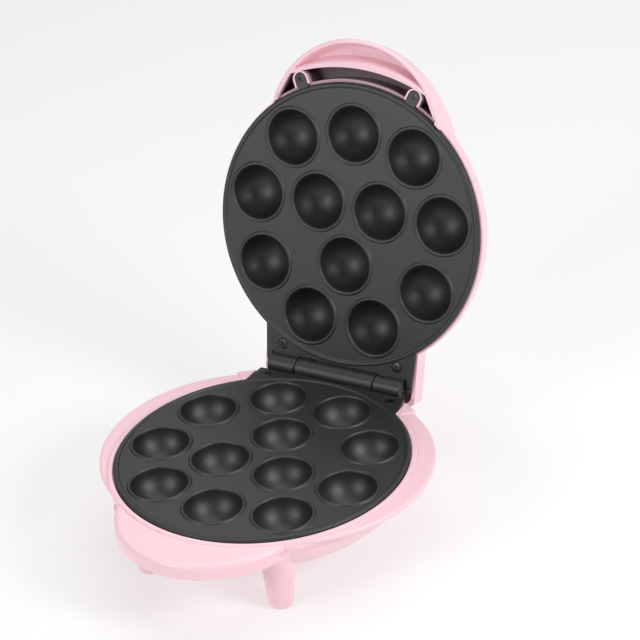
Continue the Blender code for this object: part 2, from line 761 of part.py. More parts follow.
def upper_housing():
    """The domed lid with its scooped handle and the hollow block that covers the hinge."""
    dome = [(0.0, SEAT_DEPTH), (DOME_RADIUS, SEAT_DEPTH)]
    dome += quarter(DOME_RADIUS, DOME_HEIGHT - DOME_START, DOME_START, 6)
    housing = part("upper_housing", turned("dome", dome, PLATE_STEPS), PINK, UP)
    scoop = lofted("scoop", scoop_rings(0.0, scoop_levels(LID_HANDLE_EDGE, 0.0)))
    low, high = (0, 0, -0.010), (0, 0, SEAT_DEPTH + 0.001)
    plate_room = rod("plate_room", low, high, PLATE_RADIUS + 0.0008, sides=PLATE_STEPS)
    fuse(housing, without(scoop, plate_room))
    fuse(housing, hinge_block("hinge_block", 0.0, SEAT_DEPTH + FIT))
    inner = DOME_RADIUS - WALL
    hollow = [(0.0, -0.002), (inner, -0.002)]
    hollow += quarter(inner, DOME_HEIGHT - DOME_START - WALL, DOME_START, 6)
    cut(housing, turned("inside", hollow, PLATE_STEPS))
    cut(housing, hinge_block("block_room", WALL, -0.002))
    cut(housing, handle_recess(), *ear_trough())
    for spot in ear_screw_places():
        fuse(housing, ear_boss(spot))
    for spot in tab_screw_places(UP):
        fuse(housing, rod("tab_boss", (spot.x, spot.y, SEAT_DEPTH), (spot.x, spot.y, 0.0205), 0.0042))
    for spot in tab_screw_places(UP) + ear_screw_places():
        tip = spot + Vector((0.0, 0.0, TAB_SCREW_LENGTH + 0.003))
        cut(housing, rod("screw_hole", spot, tip, SCREW_HOLE, sides=8))
    for name, x in LENS_PLACES:
        low, high = (x, LENS_Y, 0.030), (x, LENS_Y, 0.050)
        cut(housing, rod(name + "_lens_hole", low, high, LENS_RADIUS + FIT, sides=SMALL_STEPS))
    return housing


def hinge_block(name, shrink, low):
    """A box round the hinge, with round corners and a rounded back edge."""
    width, back = BLOCK_WIDTH - shrink, HINGE_Y + BLOCK_BACK - shrink
    front, top = 0.062, BLOCK_DEPTH - shrink
    levels = [(low, 0.0), (top - 0.0075, 0.0), (top - 0.0030, 0.0016), (top, 0.0062)]
    rings = []
    for z, inset in levels:
        corner = 0.006
        x, y = width - inset - corner, back - inset - corner
        ring = arc((x, y), corner, 90, 180, 4) + arc((-x, y), corner, 180, 270, 4)
        ring += [Vector((-x - corner, front, 0.0)), Vector((x + corner, front, 0.0))]
        rings.append([point + Vector((0.0, 0.0, z)) for point in ring])
    return lofted(name, rings)


def handle_recess():
    """The finger space under the lid's handle, outside the wall round the plate."""
    wall = LID_HANDLE_WALL
    scoop = lofted("recess", scoop_rings(wall, scoop_levels(-0.002, wall * 1.1)))
    core = rod("core", (0, 0, -0.01), (0, 0, 0.06), RECESS_INNER, sides=PLATE_STEPS)
    return without(scoop, core, box("floor", (-0.2, -0.2, RECESS_FLOOR), (0.2, 0.2, 0.1)))


def without(mesh, *others):
    """A mesh with other shapes taken from it, for a cutter that has to be made first."""
    obj = linked(mesh.name, mesh, CUTTERS)
    guides = []
    for other in others:
        guide = linked(other.name, other, CUTTERS)
        boolean = obj.modifiers.new(other.name, "BOOLEAN")
        boolean.solver = "EXACT"
        boolean.operation = "DIFFERENCE"
        boolean.object = guide
        guides.append(guide)
    made = evaluated_mesh(obj, mesh.name)
    for guide in guides:
        bpy.data.objects.remove(guide, do_unlink=True)
    return made


def ear_trough():
    """The crescent between the dome and the handle's inner wall, where the plate's ears sit."""
    inner, outer, half = DOME_RADIUS + 0.0005, TROUGH_OUTER, TROUGH_HALF_ANGLE
    outline = arc((0.0, 0.0), outer, -half, half, 12)
    outline += arc((0.0, 0.0), inner, half + 5, -half - 5, 12)
    way = arc((0.0, 0.0), outer - 0.0005, 1 - half, half - 1, 12)
    way += arc((0.0, 0.0), PLATE_RADIUS, half + 4, -half - 4, 12)
    over = flat_piece("ear_way", way, -0.003, SEAT_DEPTH - 0.0002)
    return flat_piece("ear_trough", outline, -0.002, TROUGH_DEPTH), over


def ear_boss(spot):
    start, end = (spot.x, spot.y, SEAT_DEPTH), (spot.x, spot.y, TROUGH_DEPTH + 0.002)
    return rod("ear_boss", start, end, 0.0036)


# The heaters and what holds them


def heater(name, side):
    """A bent sheathed heating rod: most of a ring, with both ends led out to the rear."""
    gap = HEATER_GAP_ANGLE
    ring = arc((0.0, 0.0), HEATER_RING, -180 + gap, 180 - gap, 24)
    x = ring[0].x
    bend = 0.006
    left = [Vector((x, HEATER_END_Y, 0.0)), Vector((x, ring[0].y + bend, 0.0))]
    right = [Vector((-x, ring[0].y + bend, 0.0)), Vector((-x, HEATER_END_Y, 0.0))]
    rise = Vector((0.0, 0.0, side * HEATER_DEPTH))
    path = [point + rise for point in left + ring + right]
    element = part(name, tube(name, path, HEATER_RADIUS), HEATER_METAL, side)
    for across in (x, -x):
        start = Vector((across, HEATER_END_Y - 0.002, side * HEATER_DEPTH))
        end = start + Vector((0.0, HEATER_PIN_LENGTH + 0.002, 0.0))
        fuse(element, rod("terminal", start, end, HEATER_PIN_RADIUS, sides=8))
    return element


def saddle_outline():
    """A hat section over the heating rod, (across, rise) from the pan's face."""
    inner = HEATER_RADIUS + HEATER_PLAY
    outer = inner + CLAMP_SHEET
    axis = PAN_TOP - HEATER_DEPTH
    foot = outer + CLAMP_FOOT
    gap = FIT
    top = [Vector((outer * math.cos(a), axis + outer * math.sin(a), 0)) for a in saddle_angles()]
    under = [Vector((inner * math.cos(a), axis + inner * math.sin(a), 0)) for a in saddle_angles()]
    right = [Vector((outer, gap + CLAMP_SHEET, 0)), Vector((foot, gap + CLAMP_SHEET, 0))]
    right += [Vector((foot, gap, 0)), Vector((inner, gap, 0))]
    left = [Vector((-inner, gap, 0)), Vector((-outer, gap, 0)), Vector((-outer, gap + CLAMP_SHEET, 0))]
    return top[::-1] + right + under + left


def saddle_angles():
    return [math.pi * i / 6 for i in range(7)]


def heater_clamps(prefix, side):
    hold = HEATER_RADIUS + HEATER_PLAY + CLAMP_SHEET + CLAMP_FOOT * 0.5
    for number, turn in enumerate(CLAMP_ANGLES, 1):
        name = f"{prefix}_heater_clamp_{number}"
        mesh = flat_piece(name, saddle_outline(), -CLAMP_WIDTH / 2, CLAMP_WIDTH / 2)
        stand = Matrix.Rotation(math.radians(90), 4, "X")
        flip = Matrix.Diagonal((1.0, 1.0, -side, 1.0))
        place = Matrix.Translation((HEATER_RING, 0.0, side * PAN_TOP))
        spin = Matrix.Rotation(math.radians(turn - 90), 4, "Z")
        mesh.transform(spin @ place @ flip @ stand)
        bm = bmesh.new()
        bm.from_mesh(mesh)
        clamp = part(name, tidied(bm, mesh), STEEL, side)
        spot = polar(HEATER_RING + hold, turn, side * (PAN_TOP - FIT - CLAMP_SHEET - FIT))
        deep = spot + Vector((0.0, 0.0, side * 0.004))
        near = spot - Vector((0.0, 0.0, side * 0.001))
        cut(clamp, rod("clamp_hole", near, deep, SCREW_HOLE, sides=8))
        pan_screw(f"{name}_screw", spot, side, -side, CLAMP_SCREW_LENGTH)


def heater_pan(name, side):
    """The bright dish behind the heater, whose edge turns up towards the plate."""
    back = PAN_TOP + PAN_SHEET
    profile = [
        (0.0, PAN_TOP),
        (PAN_RADIUS, PAN_TOP),
        (PAN_RIM_RADIUS - PAN_SHEET, PAN_RIM_TOP),
        (PAN_RIM_RADIUS, PAN_RIM_TOP),
        (PAN_RADIUS + PAN_SHEET * 0.7, back),
        (0.0, back),
    ]
    pan = part(name, turned(name, shifted(profile, side), SHELL_STEPS), PAN_METAL, side)
    hold = HEATER_RADIUS + HEATER_PLAY + CLAMP_SHEET + CLAMP_FOOT * 0.5
    holes = [polar(BOSS_RING, turn) for turn in BOSS_ANGLES]
    holes += [polar(HEATER_RING + hold, turn) for turn in CLAMP_ANGLES]
    for spot in holes:
        low = spot + Vector((0.0, 0.0, side * (PAN_TOP - 0.001)))
        high = spot + Vector((0.0, 0.0, side * (back + 0.001)))
        cut(pan, rod("pan_hole", low, high, SCREW_HOLE, sides=8))
    prefix = name.split("_")[0]
    for number, turn in enumerate(BOSS_ANGLES, 1):
        spot = polar(BOSS_RING, turn, side * (back + FIT))
        pan_screw(f"{prefix}_pan_screw_{number}", spot, side, side, SMALL_SCREW_LENGTH)
    return pan


def thermostat(name, x, y, side):
    """A disc thermostat on the back of the pan: metal cap, ceramic body and two blades."""
    base = PAN_TOP + PAN_SHEET + FIT
    profile = [(0.0, base), (0.0082, base), (0.0082, base + 0.0030), (0.0072, base + 0.0030)]
    profile += [(0.0072, base + 0.0085), (0.0, base + 0.0085)]
    mesh = turned(name, shifted(profile, side), steps=16, centre=(x, y))
    made = part(name, mesh, CERAMIC, side)
    for across in (-0.0042, 0.0042):
        low = (x + across - 0.0004, y - 0.0016, side * (base + 0.0080))
        high = (x + across + 0.0004, y + 0.0016, side * (base + 0.0135))
        fuse(made, box("blade", *sorted_corners(low, high)))
    return made


def sorted_corners(a, b):
    return tuple(map(min, a, b)), tuple(map(max, a, b))


def thermal_fuse():
    """A fuse link in its sleeve, clipped across the back of the base's pan."""
    depth = -(PAN_TOP + PAN_SHEET + FIT + 0.0022)
    start, end = (-0.034, 0.008, depth), (-0.034, 0.026, depth)
    part("thermal_fuse", rod("thermal_fuse", start, end, 0.0021, sides=12), CERAMIC, DOWN)


def terminal_block():
    """The mains terminal block on the floor of the base, with two wire entries."""
    floor = -(BOWL_FLOOR - WALL) + FIT
    low, high = (-0.012, 0.028, floor), (0.012, 0.040, floor + 0.0105)
    block = part("terminal_block", box("terminal_block", low, high), CERAMIC, DOWN)
    level, above = floor + 0.0055, floor + 0.0120
    for x in (-0.006, 0.006):
        cut(block, rod("wire_entry", (x, 0.026, level), (x, 0.042, level), 0.0022, sides=8))
        cut(block, rod("clamp_screw_hole", (x, 0.034, level), (x, 0.034, above), 0.0017, sides=8))


def cord_gland():
    """The bush in the rear wall that the mains lead passes through."""
    wall = rear_wall_y()
    profile = [
        (GLAND_HOLE, -0.0055),
        (GLAND_RADIUS, -0.0055),
        (GLAND_RADIUS, FIT),
        (GLAND_RADIUS + 0.0016, FIT),
        (GLAND_RADIUS + 0.0016, 0.0020),
        (GLAND_RADIUS + 0.0004, 0.0028),
        (GLAND_HOLE, 0.0028),
    ]
    mesh = turned("cord_gland", profile, SMALL_STEPS)
    mesh.transform(
        Matrix.Translation((0.0, wall, -GLAND_DEPTH)) @ Matrix.Rotation(math.radians(-90), 4, "X")
    )
    part("cord_gland", mesh, DARK_PLASTIC, DOWN)


def indicator_lamps():
    """Two lenses in the lid's top, each with a lamp behind it, on one small board."""
    dome = DOME_HEIGHT - DOME_START
    radius = abs(LENS_Y)
    surface = DOME_START + dome * math.sqrt(1 - (radius / DOME_RADIUS) ** 2)
    reach = radius + 0.0080
    under = DOME_START + (dome - WALL) * math.sqrt(1 - (reach / (DOME_RADIUS - WALL)) ** 2)
    for name, x in LENS_PLACES:
        finish = RED_LENS if name == "power" else GREEN_LENS
        flange = under - 0.0016
        profile = [(0.0, surface + 0.0012), (LENS_RADIUS - 0.0012, surface + 0.0012)]
        profile += [(LENS_RADIUS, surface), (LENS_RADIUS, flange), (LENS_FLANGE, flange)]
        profile += [(LENS_FLANGE, flange - 0.0012), (0.0, flange - 0.0012)]
        mesh = turned(name + "_lens", profile, SMALL_STEPS, centre=(x, LENS_Y))
        part(name + "_lens", mesh, finish, UP)
        top = flange - 0.0012 - FIT
        start, end = (x, LENS_Y, top), (x, LENS_Y, top - 0.0060)
        part(name + "_lamp", rod(name + "_lamp", start, end, 0.0022, sides=12), GLASS, UP)
    top = under - 0.0016 - 0.0012 - FIT - 0.0060 - FIT
    low, high = (-0.016, LENS_Y - 0.005, top - 0.0014), (0.016, LENS_Y + 0.005, top)
    part("lamp_board", box("lamp_board", low, high), BOARD, UP)


def hinge_pin():
    reach = KNUCKLE_SPAN - 0.0008
    part("hinge_pin", rod("hinge_pin", (-reach, HINGE_Y, 0), (reach, HINGE_Y, 0), PIN_RADIUS), STEEL, DOWN)


def build_base():
    lower_housing()
    foot_pads()
    baking_plate("lower_plate", DOWN)
    hinge_pin()
    for name, spot in zip(("left", "right"), tab_screw_places(DOWN)):
        countersunk_screw(f"lower_tab_screw_{name}", spot, DOWN)
    heater("lower_heater", DOWN)
    heater_pan("lower_heater_pan", DOWN)
    heater_clamps("lower", DOWN)
    thermostat("cooking_thermostat", 0.020, 0.014, DOWN)
    thermal_fuse()
    terminal_block()
    cord_gland()


def build_lid():
    upper_housing()
    baking_plate("upper_plate", UP)
    for name, spot in zip(("left", "right"), tab_screw_places(UP)):
        countersunk_screw(f"upper_tab_screw_{name}", spot, UP)
    for name, spot in zip(("left", "right"), ear_screw_places()):
        countersunk_screw(f"upper_ear_screw_{name}", spot, UP)
    heater("upper_heater", UP)
    heater_pan("upper_heater_pan", UP)
    heater_clamps("upper", UP)
    thermostat("ready_thermostat", 0.020, 0.014, UP)
    indicator_lamps()


def stand_on_origin():
    """Puts the origin under the middle of the open object, on the surface that it stands on."""
    bpy.context.view_layer.update()
    graph = bpy.context.evaluated_depsgraph_get()
    corners = []
    for obj in PARTS.objects:
        if obj.type == "MESH":
            mesh = obj.evaluated_get(graph).to_mesh()
            corners += [obj.matrix_world @ vert.co for vert in mesh.vertices]
    low = Vector([min(corner[i] for corner in corners) for i in range(3)])
    high = Vector([max(corner[i] for corner in corners) for i in range(3)])
    ROOT.location = (-(low.x + high.x) / 2, -(low.y + high.y) / 2, -low.z)


build_base()
build_lid()
stand_on_origin()
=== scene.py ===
"""Ball cake maker: the fine mouldings, coated plates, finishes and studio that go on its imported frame.

Shapes are drawn in millimetres about the middle of a baking plate, on the plane where the two plates
part, with heights falling away from that plane. The lid's pieces are drawn alike and turned over.
"""

import json
import math

import bpy
from bpy.props import FloatProperty, FloatVectorProperty, PointerProperty
from mathutils import Matrix, Vector


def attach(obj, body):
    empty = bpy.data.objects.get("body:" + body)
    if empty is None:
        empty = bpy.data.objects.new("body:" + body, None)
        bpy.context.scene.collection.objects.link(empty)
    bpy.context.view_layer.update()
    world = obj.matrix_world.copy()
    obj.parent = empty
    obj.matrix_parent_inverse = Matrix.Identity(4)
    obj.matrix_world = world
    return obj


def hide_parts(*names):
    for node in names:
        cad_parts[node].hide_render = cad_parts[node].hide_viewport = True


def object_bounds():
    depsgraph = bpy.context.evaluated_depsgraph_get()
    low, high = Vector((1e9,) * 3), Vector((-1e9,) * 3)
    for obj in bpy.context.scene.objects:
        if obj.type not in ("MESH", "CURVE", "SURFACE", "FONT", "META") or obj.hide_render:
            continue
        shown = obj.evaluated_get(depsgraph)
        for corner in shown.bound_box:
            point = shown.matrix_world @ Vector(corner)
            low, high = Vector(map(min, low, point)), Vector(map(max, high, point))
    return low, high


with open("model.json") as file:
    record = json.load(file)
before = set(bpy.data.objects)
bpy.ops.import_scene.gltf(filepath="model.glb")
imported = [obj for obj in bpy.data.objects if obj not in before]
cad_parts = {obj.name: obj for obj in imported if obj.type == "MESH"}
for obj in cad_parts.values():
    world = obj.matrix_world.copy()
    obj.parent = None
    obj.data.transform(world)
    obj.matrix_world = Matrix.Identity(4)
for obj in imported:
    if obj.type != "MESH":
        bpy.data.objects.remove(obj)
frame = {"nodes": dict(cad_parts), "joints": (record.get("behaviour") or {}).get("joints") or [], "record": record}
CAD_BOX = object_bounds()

bl_info = {
    "name": "Ball Cake Maker",
    "version": (1, 0, 0),
    "blender": (4, 5, 0),
    "location": "3D View > Sidebar > Ball Maker",
    "description": "Models and finishes an open ball cake maker on its packed frame",
    "category": "Object",
}

MM = 0.001
CREASE = math.radians(34.0)
HINGE_REACH = 104.66
JOINT = frame["joints"][0]
HINGE = Vector(JOINT["pos_m"])
PLATE_CENTRE = HINGE - Vector((0.0, HINGE_REACH * MM, 0.0))
LID_OPEN = math.radians(JOINT["range_deg"][1])

# Places for pieces drawn about the plate's centre: the base's, and the lid's turned over and open.
BASE_PLACE = Matrix.Translation(PLATE_CENTRE)
LID_PLACE = (
    Matrix.Translation(HINGE)
    @ Matrix.Rotation(-LID_OPEN, 4, "X")
    @ Matrix.Translation(PLATE_CENTRE - HINGE)
    @ Matrix.Rotation(math.pi, 4, "Y")
)

# Plates
PLATE_RADIUS = 97.0
FLOOR = -1.3
BACK = -3.8
LIP_TOP = -0.3
OUTER_RING = 70.6
FRONT_CUP = 63.05
INNER_RING = 26.9
BOSS_RING = 77.5
EAR_RING = 103.2
EAR_TURN = 24.2
EAR_HALF = 3.9
KNUCKLE_RADIUS = 6.8
KNUCKLE_END = 50.8
KNUCKLE_SPLIT = 29.82
KNUCKLE_GAP = 0.5
TAB_ROOT = 57.3
TAB_END = 55.3
TAB_SCREW_Y = 91.0
LOWER_SCREW_X = 47.7
UPPER_SCREW_X = 43.7

# Housings
SEAT = -4.1
BRIM_RADIUS = 94.0
BRIM_PLACES = ((-18.5, 6.0), (18.5, 6.0))
BRIM_TOP = -3.3
RING_RADIUS = 101.0
RING_TOP = -2.0
BOWL_RADIUS = 98.5
BOWL_HEIGHT = 44.0
BOWL_START = 8.0
BOWL_FLOOR = -46.0
REAR_RADIUS = 111.0
REAR_WALL = 104.63
WALL = 2.5
DOME_RADIUS = 98.4
DOME_HEIGHT = 39.0
HANDLE_RADIUS = 63.7
HANDLE_CENTRE = -62.7
HANDLE_CORNER = -81.0
LID_HANDLE_WALL = 3.2
RECESS_FLOOR = -11.5
HANDLE_UNDER = -13.4
TROUGH_INNER = 98.9
TROUGH_FLOOR = -16.0
# Where shade is painted into the ear trough: between two radii, in front of a line, and inside two slanting ones
SHADE_RADII = (96.5, 109.2)
SHADE_FRONT = -70.0
SHADE_SLOPE = 0.473
SHADE_SIDE = 96.4
FOOT_SPOTS = ((-48.4, -70.2), (48.4, -70.2), (-48.4, 81.0), (48.4, 81.0))
FOOT_NAMES = ("front_left", "front_right", "rear_left", "rear_right")
FOOT_END = -57.6
LENS_SPOTS = ((9.5, -52.0), (-9.5, -52.0))
GLAND_LEVEL = -29.0


# Sizes and colours that a user would change


class PlateSizes(bpy.types.PropertyGroup):
    """Sizes of the baking plates."""

    cup_radius: FloatProperty(
        name="Cup radius",
        description="Inside radius of each half ball",
        default=0.0184,
        unit="LENGTH",
        precision=4,
    )
    lip_width: FloatProperty(
        name="Lip width",
        description="Width of the raised lip round each cup",
        default=0.0024,
        unit="LENGTH",
        precision=4,
    )
    rim_width: FloatProperty(
        name="Rim width",
        description="Width of the ridge round the plate",
        default=0.0028,
        unit="LENGTH",
        precision=4,
    )


class ShellSizes(bpy.types.PropertyGroup):
    """Sizes of the two plastic housings."""

    handle_round: FloatProperty(
        name="Handle rounding",
        description="How far the handle's top edge is rounded",
        default=0.003,
        unit="LENGTH",
        precision=4,
    )
    block_round: FloatProperty(
        name="Hinge block rounding",
        description="Rounding of the lid's hinge block",
        default=0.006,
        unit="LENGTH",
        precision=4,
    )


class Colours(bpy.types.PropertyGroup):
    """Colours of the main finishes."""

    shell: FloatVectorProperty(
        name="Housing",
        description="Colour of the plastic",
        default=(0.93, 0.62, 0.685),
        subtype="COLOR",
        min=0.0,
        max=1.0,
    )
    coating: FloatVectorProperty(
        name="Coating",
        description="Colour of the non-stick coating",
        default=(0.0072, 0.0074, 0.0077),
        subtype="COLOR",
        min=0.0,
        max=1.0,
    )
    floor: FloatVectorProperty(
        name="Floor",
        description="Colour of the studio floor",
        default=(0.48, 0.48, 0.48),
        subtype="COLOR",
        min=0.0,
        max=1.0,
    )


class Studio(bpy.types.PropertyGroup):
    """Light and camera."""

    key: FloatProperty(
        name="Softboxes",
        description="Power of each softbox",
        default=8.0,
        unit="POWER",
        min=0.0,
    )
    fill: FloatProperty(
        name="Surround",
        description="Strength of the white surround",
        default=0.29,
        min=0.0,
    )
    azimuth: FloatProperty(
        name="Azimuth",
        description="Camera's turn from the front",
        default=math.radians(30.458),
        subtype="ANGLE",
    )
    elevation: FloatProperty(
        name="Elevation",
        description="Camera's height as an angle",
        default=math.radians(29.934),
        subtype="ANGLE",
    )
    roll: FloatProperty(
        name="Roll",
        description="Camera's tilt about its own view",
        default=math.radians(-4.615),
        subtype="ANGLE",
    )
    distance: FloatProperty(
        name="Distance",
        description="From the camera to its target",
        default=1.7793,
        unit="LENGTH",
    )
    lens: FloatProperty(
        name="Lens",
        description="Focal length in millimetres",
        default=141.39,
    )


# Modelling, as by hand


def alone(obj):
    bpy.ops.object.select_all(action="DESELECT")
    obj.select_set(True)
    bpy.context.view_layer.objects.active = obj
    return obj


def started(name, add, **settings):
    """A new primitive, selected on its own."""
    bpy.ops.object.select_all(action="DESELECT")
    add(**settings)
    obj = bpy.context.object
    obj.name = obj.data.name = name
    return obj


def settled(obj):
    """Applies an object's place, turn and size to its mesh."""
    alone(obj)
    bpy.ops.object.transform_apply(location=True, rotation=True, scale=True)
    return obj


def closed(obj):
    """Turns every face of the mesh in edit mode outwards, and leaves edit mode."""
    bpy.ops.mesh.select_all(action="SELECT")
    bpy.ops.mesh.normals_make_consistent(inside=False)
    bpy.ops.object.mode_set(mode="OBJECT")
    return settled(obj)


def lifted(x, y, z):
    bpy.ops.mesh.extrude_region_move(TRANSFORM_OT_translate={"value": (x * MM, y * MM, z * MM)})


def turned(name, profile, centre=(0.0, 0.0), sides=96):
    """A disc raised ring by ring. Each step gives a radius, a height and a shift along Y."""
    x, y = centre
    radius, height, along = (*profile[0], 0.0)[:3]
    place = (x * MM, (y + along) * MM, height * MM)
    size = {"vertices": sides, "radius": radius * MM, "fill_type": "NGON"}
    obj = started(name, bpy.ops.mesh.primitive_circle_add, location=place, **size)
    bpy.ops.object.mode_set(mode="EDIT")
    for step in profile[1:]:
        ring, level, ahead = (*step, 0.0)[:3]
        lifted(0.0, ahead - along, level - height)
        height, along = level, ahead
        if not ring:
            bpy.ops.mesh.merge(type="CENTER")
            break
        share = ring / radius
        middle = (x * MM, (y + along) * MM, height * MM)
        bpy.ops.transform.resize(value=(share, share, 1.0), center_override=middle)
        radius = ring
    return closed(obj)


def outlined(name, points, low, high):
    """A level outline drawn point by point, filled and given its height."""
    x, y = points[0]
    place = (x * MM, y * MM, low * MM)
    obj = started(name, bpy.ops.mesh.primitive_plane_add, size=0.01, location=place)
    bpy.ops.object.mode_set(mode="EDIT")
    bpy.ops.mesh.merge(type="CENTER")
    for ahead_x, ahead_y in points[1:]:
        lifted(ahead_x - x, ahead_y - y, 0.0)
        x, y = ahead_x, ahead_y
    bpy.ops.mesh.select_all(action="SELECT")
    bpy.ops.mesh.edge_face_add()
    lifted(0.0, 0.0, high - low)
    return closed(obj)


def block(name, low, high):
    """A box between two corners."""
    low, high = Vector(low) * MM, Vector(high) * MM
    place = {"location": (low + high) / 2, "scale": high - low}
    return settled(started(name, bpy.ops.mesh.primitive_cube_add, size=1.0, **place))


def rod(name, middle, length, radius, along="Z", sides=48):
    turn = {"X": (0.0, math.pi / 2, 0.0), "Y": (math.pi / 2, 0.0, 0.0), "Z": (0.0, 0.0, 0.0)}[along]
    place = {"location": Vector(middle) * MM, "rotation": turn}
    size = {"vertices": sides, "radius": radius * MM, "depth": length * MM}
    return settled(started(name, bpy.ops.mesh.primitive_cylinder_add, **size, **place))


def applied(obj, kind, **settings):
    alone(obj)
    modifier = obj.modifiers.new(kind.lower(), kind)
    for key, value in settings.items():
        setattr(modifier, key, value)
    bpy.ops.object.modifier_apply(modifier=modifier.name)
    return obj


def eased(obj, width, segments=3, angle=35.0):
    """Rounds the edges that turn by more than the angle."""
    limit = math.radians(angle)
    size = {"width": width * MM, "segments": segments}
    return applied(obj, "BEVEL", limit_method="ANGLE", angle_limit=limit, **size)


def worked(obj, operation, tools):
    for tool in tools:
        applied(obj, "BOOLEAN", operation=operation, solver="EXACT", object=tool)
        bpy.data.objects.remove(tool, do_unlink=True)
    return obj


def added(obj, *tools):
    return worked(obj, "UNION", tools)


def cut(obj, *tools):
    return worked(obj, "DIFFERENCE", tools)


def moved(obj, matrix):
    obj.matrix_world = matrix @ obj.matrix_world
    return settled(obj)


def copied(obj, name=None):
    alone(obj)
    bpy.ops.object.duplicate()
    copy = bpy.context.object
    copy.name = copy.data.name = name or obj.name
    return copy


def repeated(obj, spots):
    """One object that holds a copy of this one at each spot."""
    copies = [moved(copied(obj), Matrix.Translation(Vector((x, y, 0.0)) * MM)) for x, y in spots]
    bpy.data.objects.remove(obj, do_unlink=True)
    alone(copies[0])
    for copy in copies:
        copy.select_set(True)
    bpy.ops.object.join()
    return bpy.context.object


def polar(radius, turn):
    """A point at this radius, turned in degrees from the handle side towards the right."""
    angle = math.radians(turn)
    return radius * math.sin(angle), -radius * math.cos(angle)


def arc(centre, radius, start, end, steps):
    x, y = centre
    turns = [start + (end - start) * i / steps for i in range(steps + 1)]
    return [(x + polar(radius, turn)[0], y + polar(radius, turn)[1]) for turn in turns]


def swept(radius, height, start, turns):
    """Points of an upright ellipse from its widest level outwards and down."""
    angles = [math.radians(turn) for turn in turns]
    return [(radius * math.cos(a), -start - height * math.sin(a)) for a in angles]


def finished(obj, place, body, finish, node):
    """Puts a piece in its place, shades it, gives it its finish, hides the frame's part it stands for, and hangs
    it on the body it moves with.
    """
    moved(obj, place)
    bpy.ops.object.shade_smooth_by_angle(angle=CREASE)
    applied(obj, "WEIGHTED_NORMAL", keep_sharp=True, weight=80)
    obj.data.materials.clear()
    obj.data.materials.append(finish)
    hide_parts(node)
    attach(obj, body)


# Finishes


class Value:
    """A shader socket that sums can be done with."""

    def __init__(self, finish, socket):
        self.finish = finish
        self.socket = socket

    def __add__(self, other):
        return self.finish.sum("ADD", self, other)

    def __radd__(self, other):
        return self.finish.sum("ADD", other, self)

    def __sub__(self, other):
        return self.finish.sum("SUBTRACT", self, other)

    def __mul__(self, other):
        return self.finish.sum("MULTIPLY", self, other)

    def __pow__(self, other):
        return self.finish.sum("POWER", self, other)


class Finish:
    """A material with its Principled shader. What is the same all over is set on the shader itself."""

    def __init__(self, name, **uniform):
        self.material = bpy.data.materials.new(name)
        self.material.use_nodes = True
        self.tree = self.material.node_tree
        self.shader = self.tree.nodes["Principled BSDF"]
        for socket, value in uniform.items():
            self.shader.inputs[socket.replace("_", " ")].default_value = value
        self.place = self.node("ShaderNodeTexCoord", output="Object")

    def feed(self, socket, value):
        if isinstance(value, Value):
            self.tree.links.new(value.socket, socket)
        else:
            socket.default_value = value

    def node(self, kind, settings=None, inputs=None, output=0):
        node = self.tree.nodes.new(kind)
        for key, value in (settings or {}).items():
            if key == "stops":
                for stop, (position, tone) in zip(node.color_ramp.elements, value):
                    stop.position = position
                    stop.color = (tone, tone, tone, 1.0)
            else:
                setattr(node, key, value)
        for key, value in (inputs or {}).items():
            self.feed(node.inputs[key], value)
        return Value(self, node.outputs[output])

    def sum(self, operation, first, second):
        return self.node("ShaderNodeMath", {"operation": operation}, {0: first, 1: second})

    def stretched(self, x, y, z):
        """The object's own coordinates, drawn out by these scales."""
        return self.node("ShaderNodeMapping", {}, {"Vector": self.place, "Scale": (x, y, z)})

    def noise(self, scale, detail=3.0, roughness=0.55, vector=None):
        inputs = {"Vector": vector or self.place, "Scale": scale}
        inputs |= {"Detail": detail, "Roughness": roughness}
        return self.node("ShaderNodeTexNoise", {}, inputs)

    def cells(self, scale):
        return self.node("ShaderNodeTexVoronoi", {}, {"Vector": self.place, "Scale": scale})

    def ramp(self, value, low, high):
        """0 below the first level, 1 above the second."""
        return self.node("ShaderNodeValToRGB", {"stops": ((low, 0.0), (high, 1.0))}, {"Fac": value})

    def mixed(self, share, first, second):
        ends = [tone if isinstance(tone, Value) else (*tone, 1.0) for tone in (first, second)]
        inputs = {0: share, 6: ends[0], 7: ends[1]}
        return self.node("ShaderNodeMix", {"data_type": "RGBA"}, inputs, output=2)

    def bump(self, height, distance, strength=1.0):
        inputs = {"Height": height, "Distance": distance, "Strength": strength}
        return self.node("ShaderNodeBump", {}, inputs)

    def varied(self, **varying):
        for socket, value in varying.items():
            self.feed(self.shader.inputs[socket.replace("_", " ")], value)
        return self.material


def toned(colour, share):
    return tuple(min(1.0, channel * share) for channel in colour)


def shell_finish(colour, painted_shade_frame=None):
    """Moulded gloss plastic: faint clouding, a soft skin, hairline rubs, and painted shade deep in the ear trough.
    """
    made = Finish("pink_shell", Specular_IOR_Level=0.5, Coat_Weight=0.12, Coat_Roughness=0.16)
    cloud = made.noise(16.0, 2.0)
    rubs = made.ramp(made.noise(60.0, 6.0, 0.7, made.stretched(1.0, 5.0, 0.6)), 0.62, 0.78)
    skin = made.noise(700.0, 2.0) * 0.6 + made.noise(2600.0, 2.0) * 0.25 + rubs * 0.1
    tone = made.mixed(cloud, toned(colour, 0.975), toned(colour, 1.02))
    # Painted shade: given the lid's frame, the ear trough is tinted dark purple, more so the deeper it goes
    if painted_shade_frame:
        tone = made.mixed(painted_trough_shade(made, painted_shade_frame), tone, (0.10, 0.05, 0.075))
    return made.varied(
        Base_Color=tone,
        Roughness=0.29 + cloud * 0.06 + rubs * 0.07,
        Normal=made.bump(skin, 0.00004, 0.35),
    )


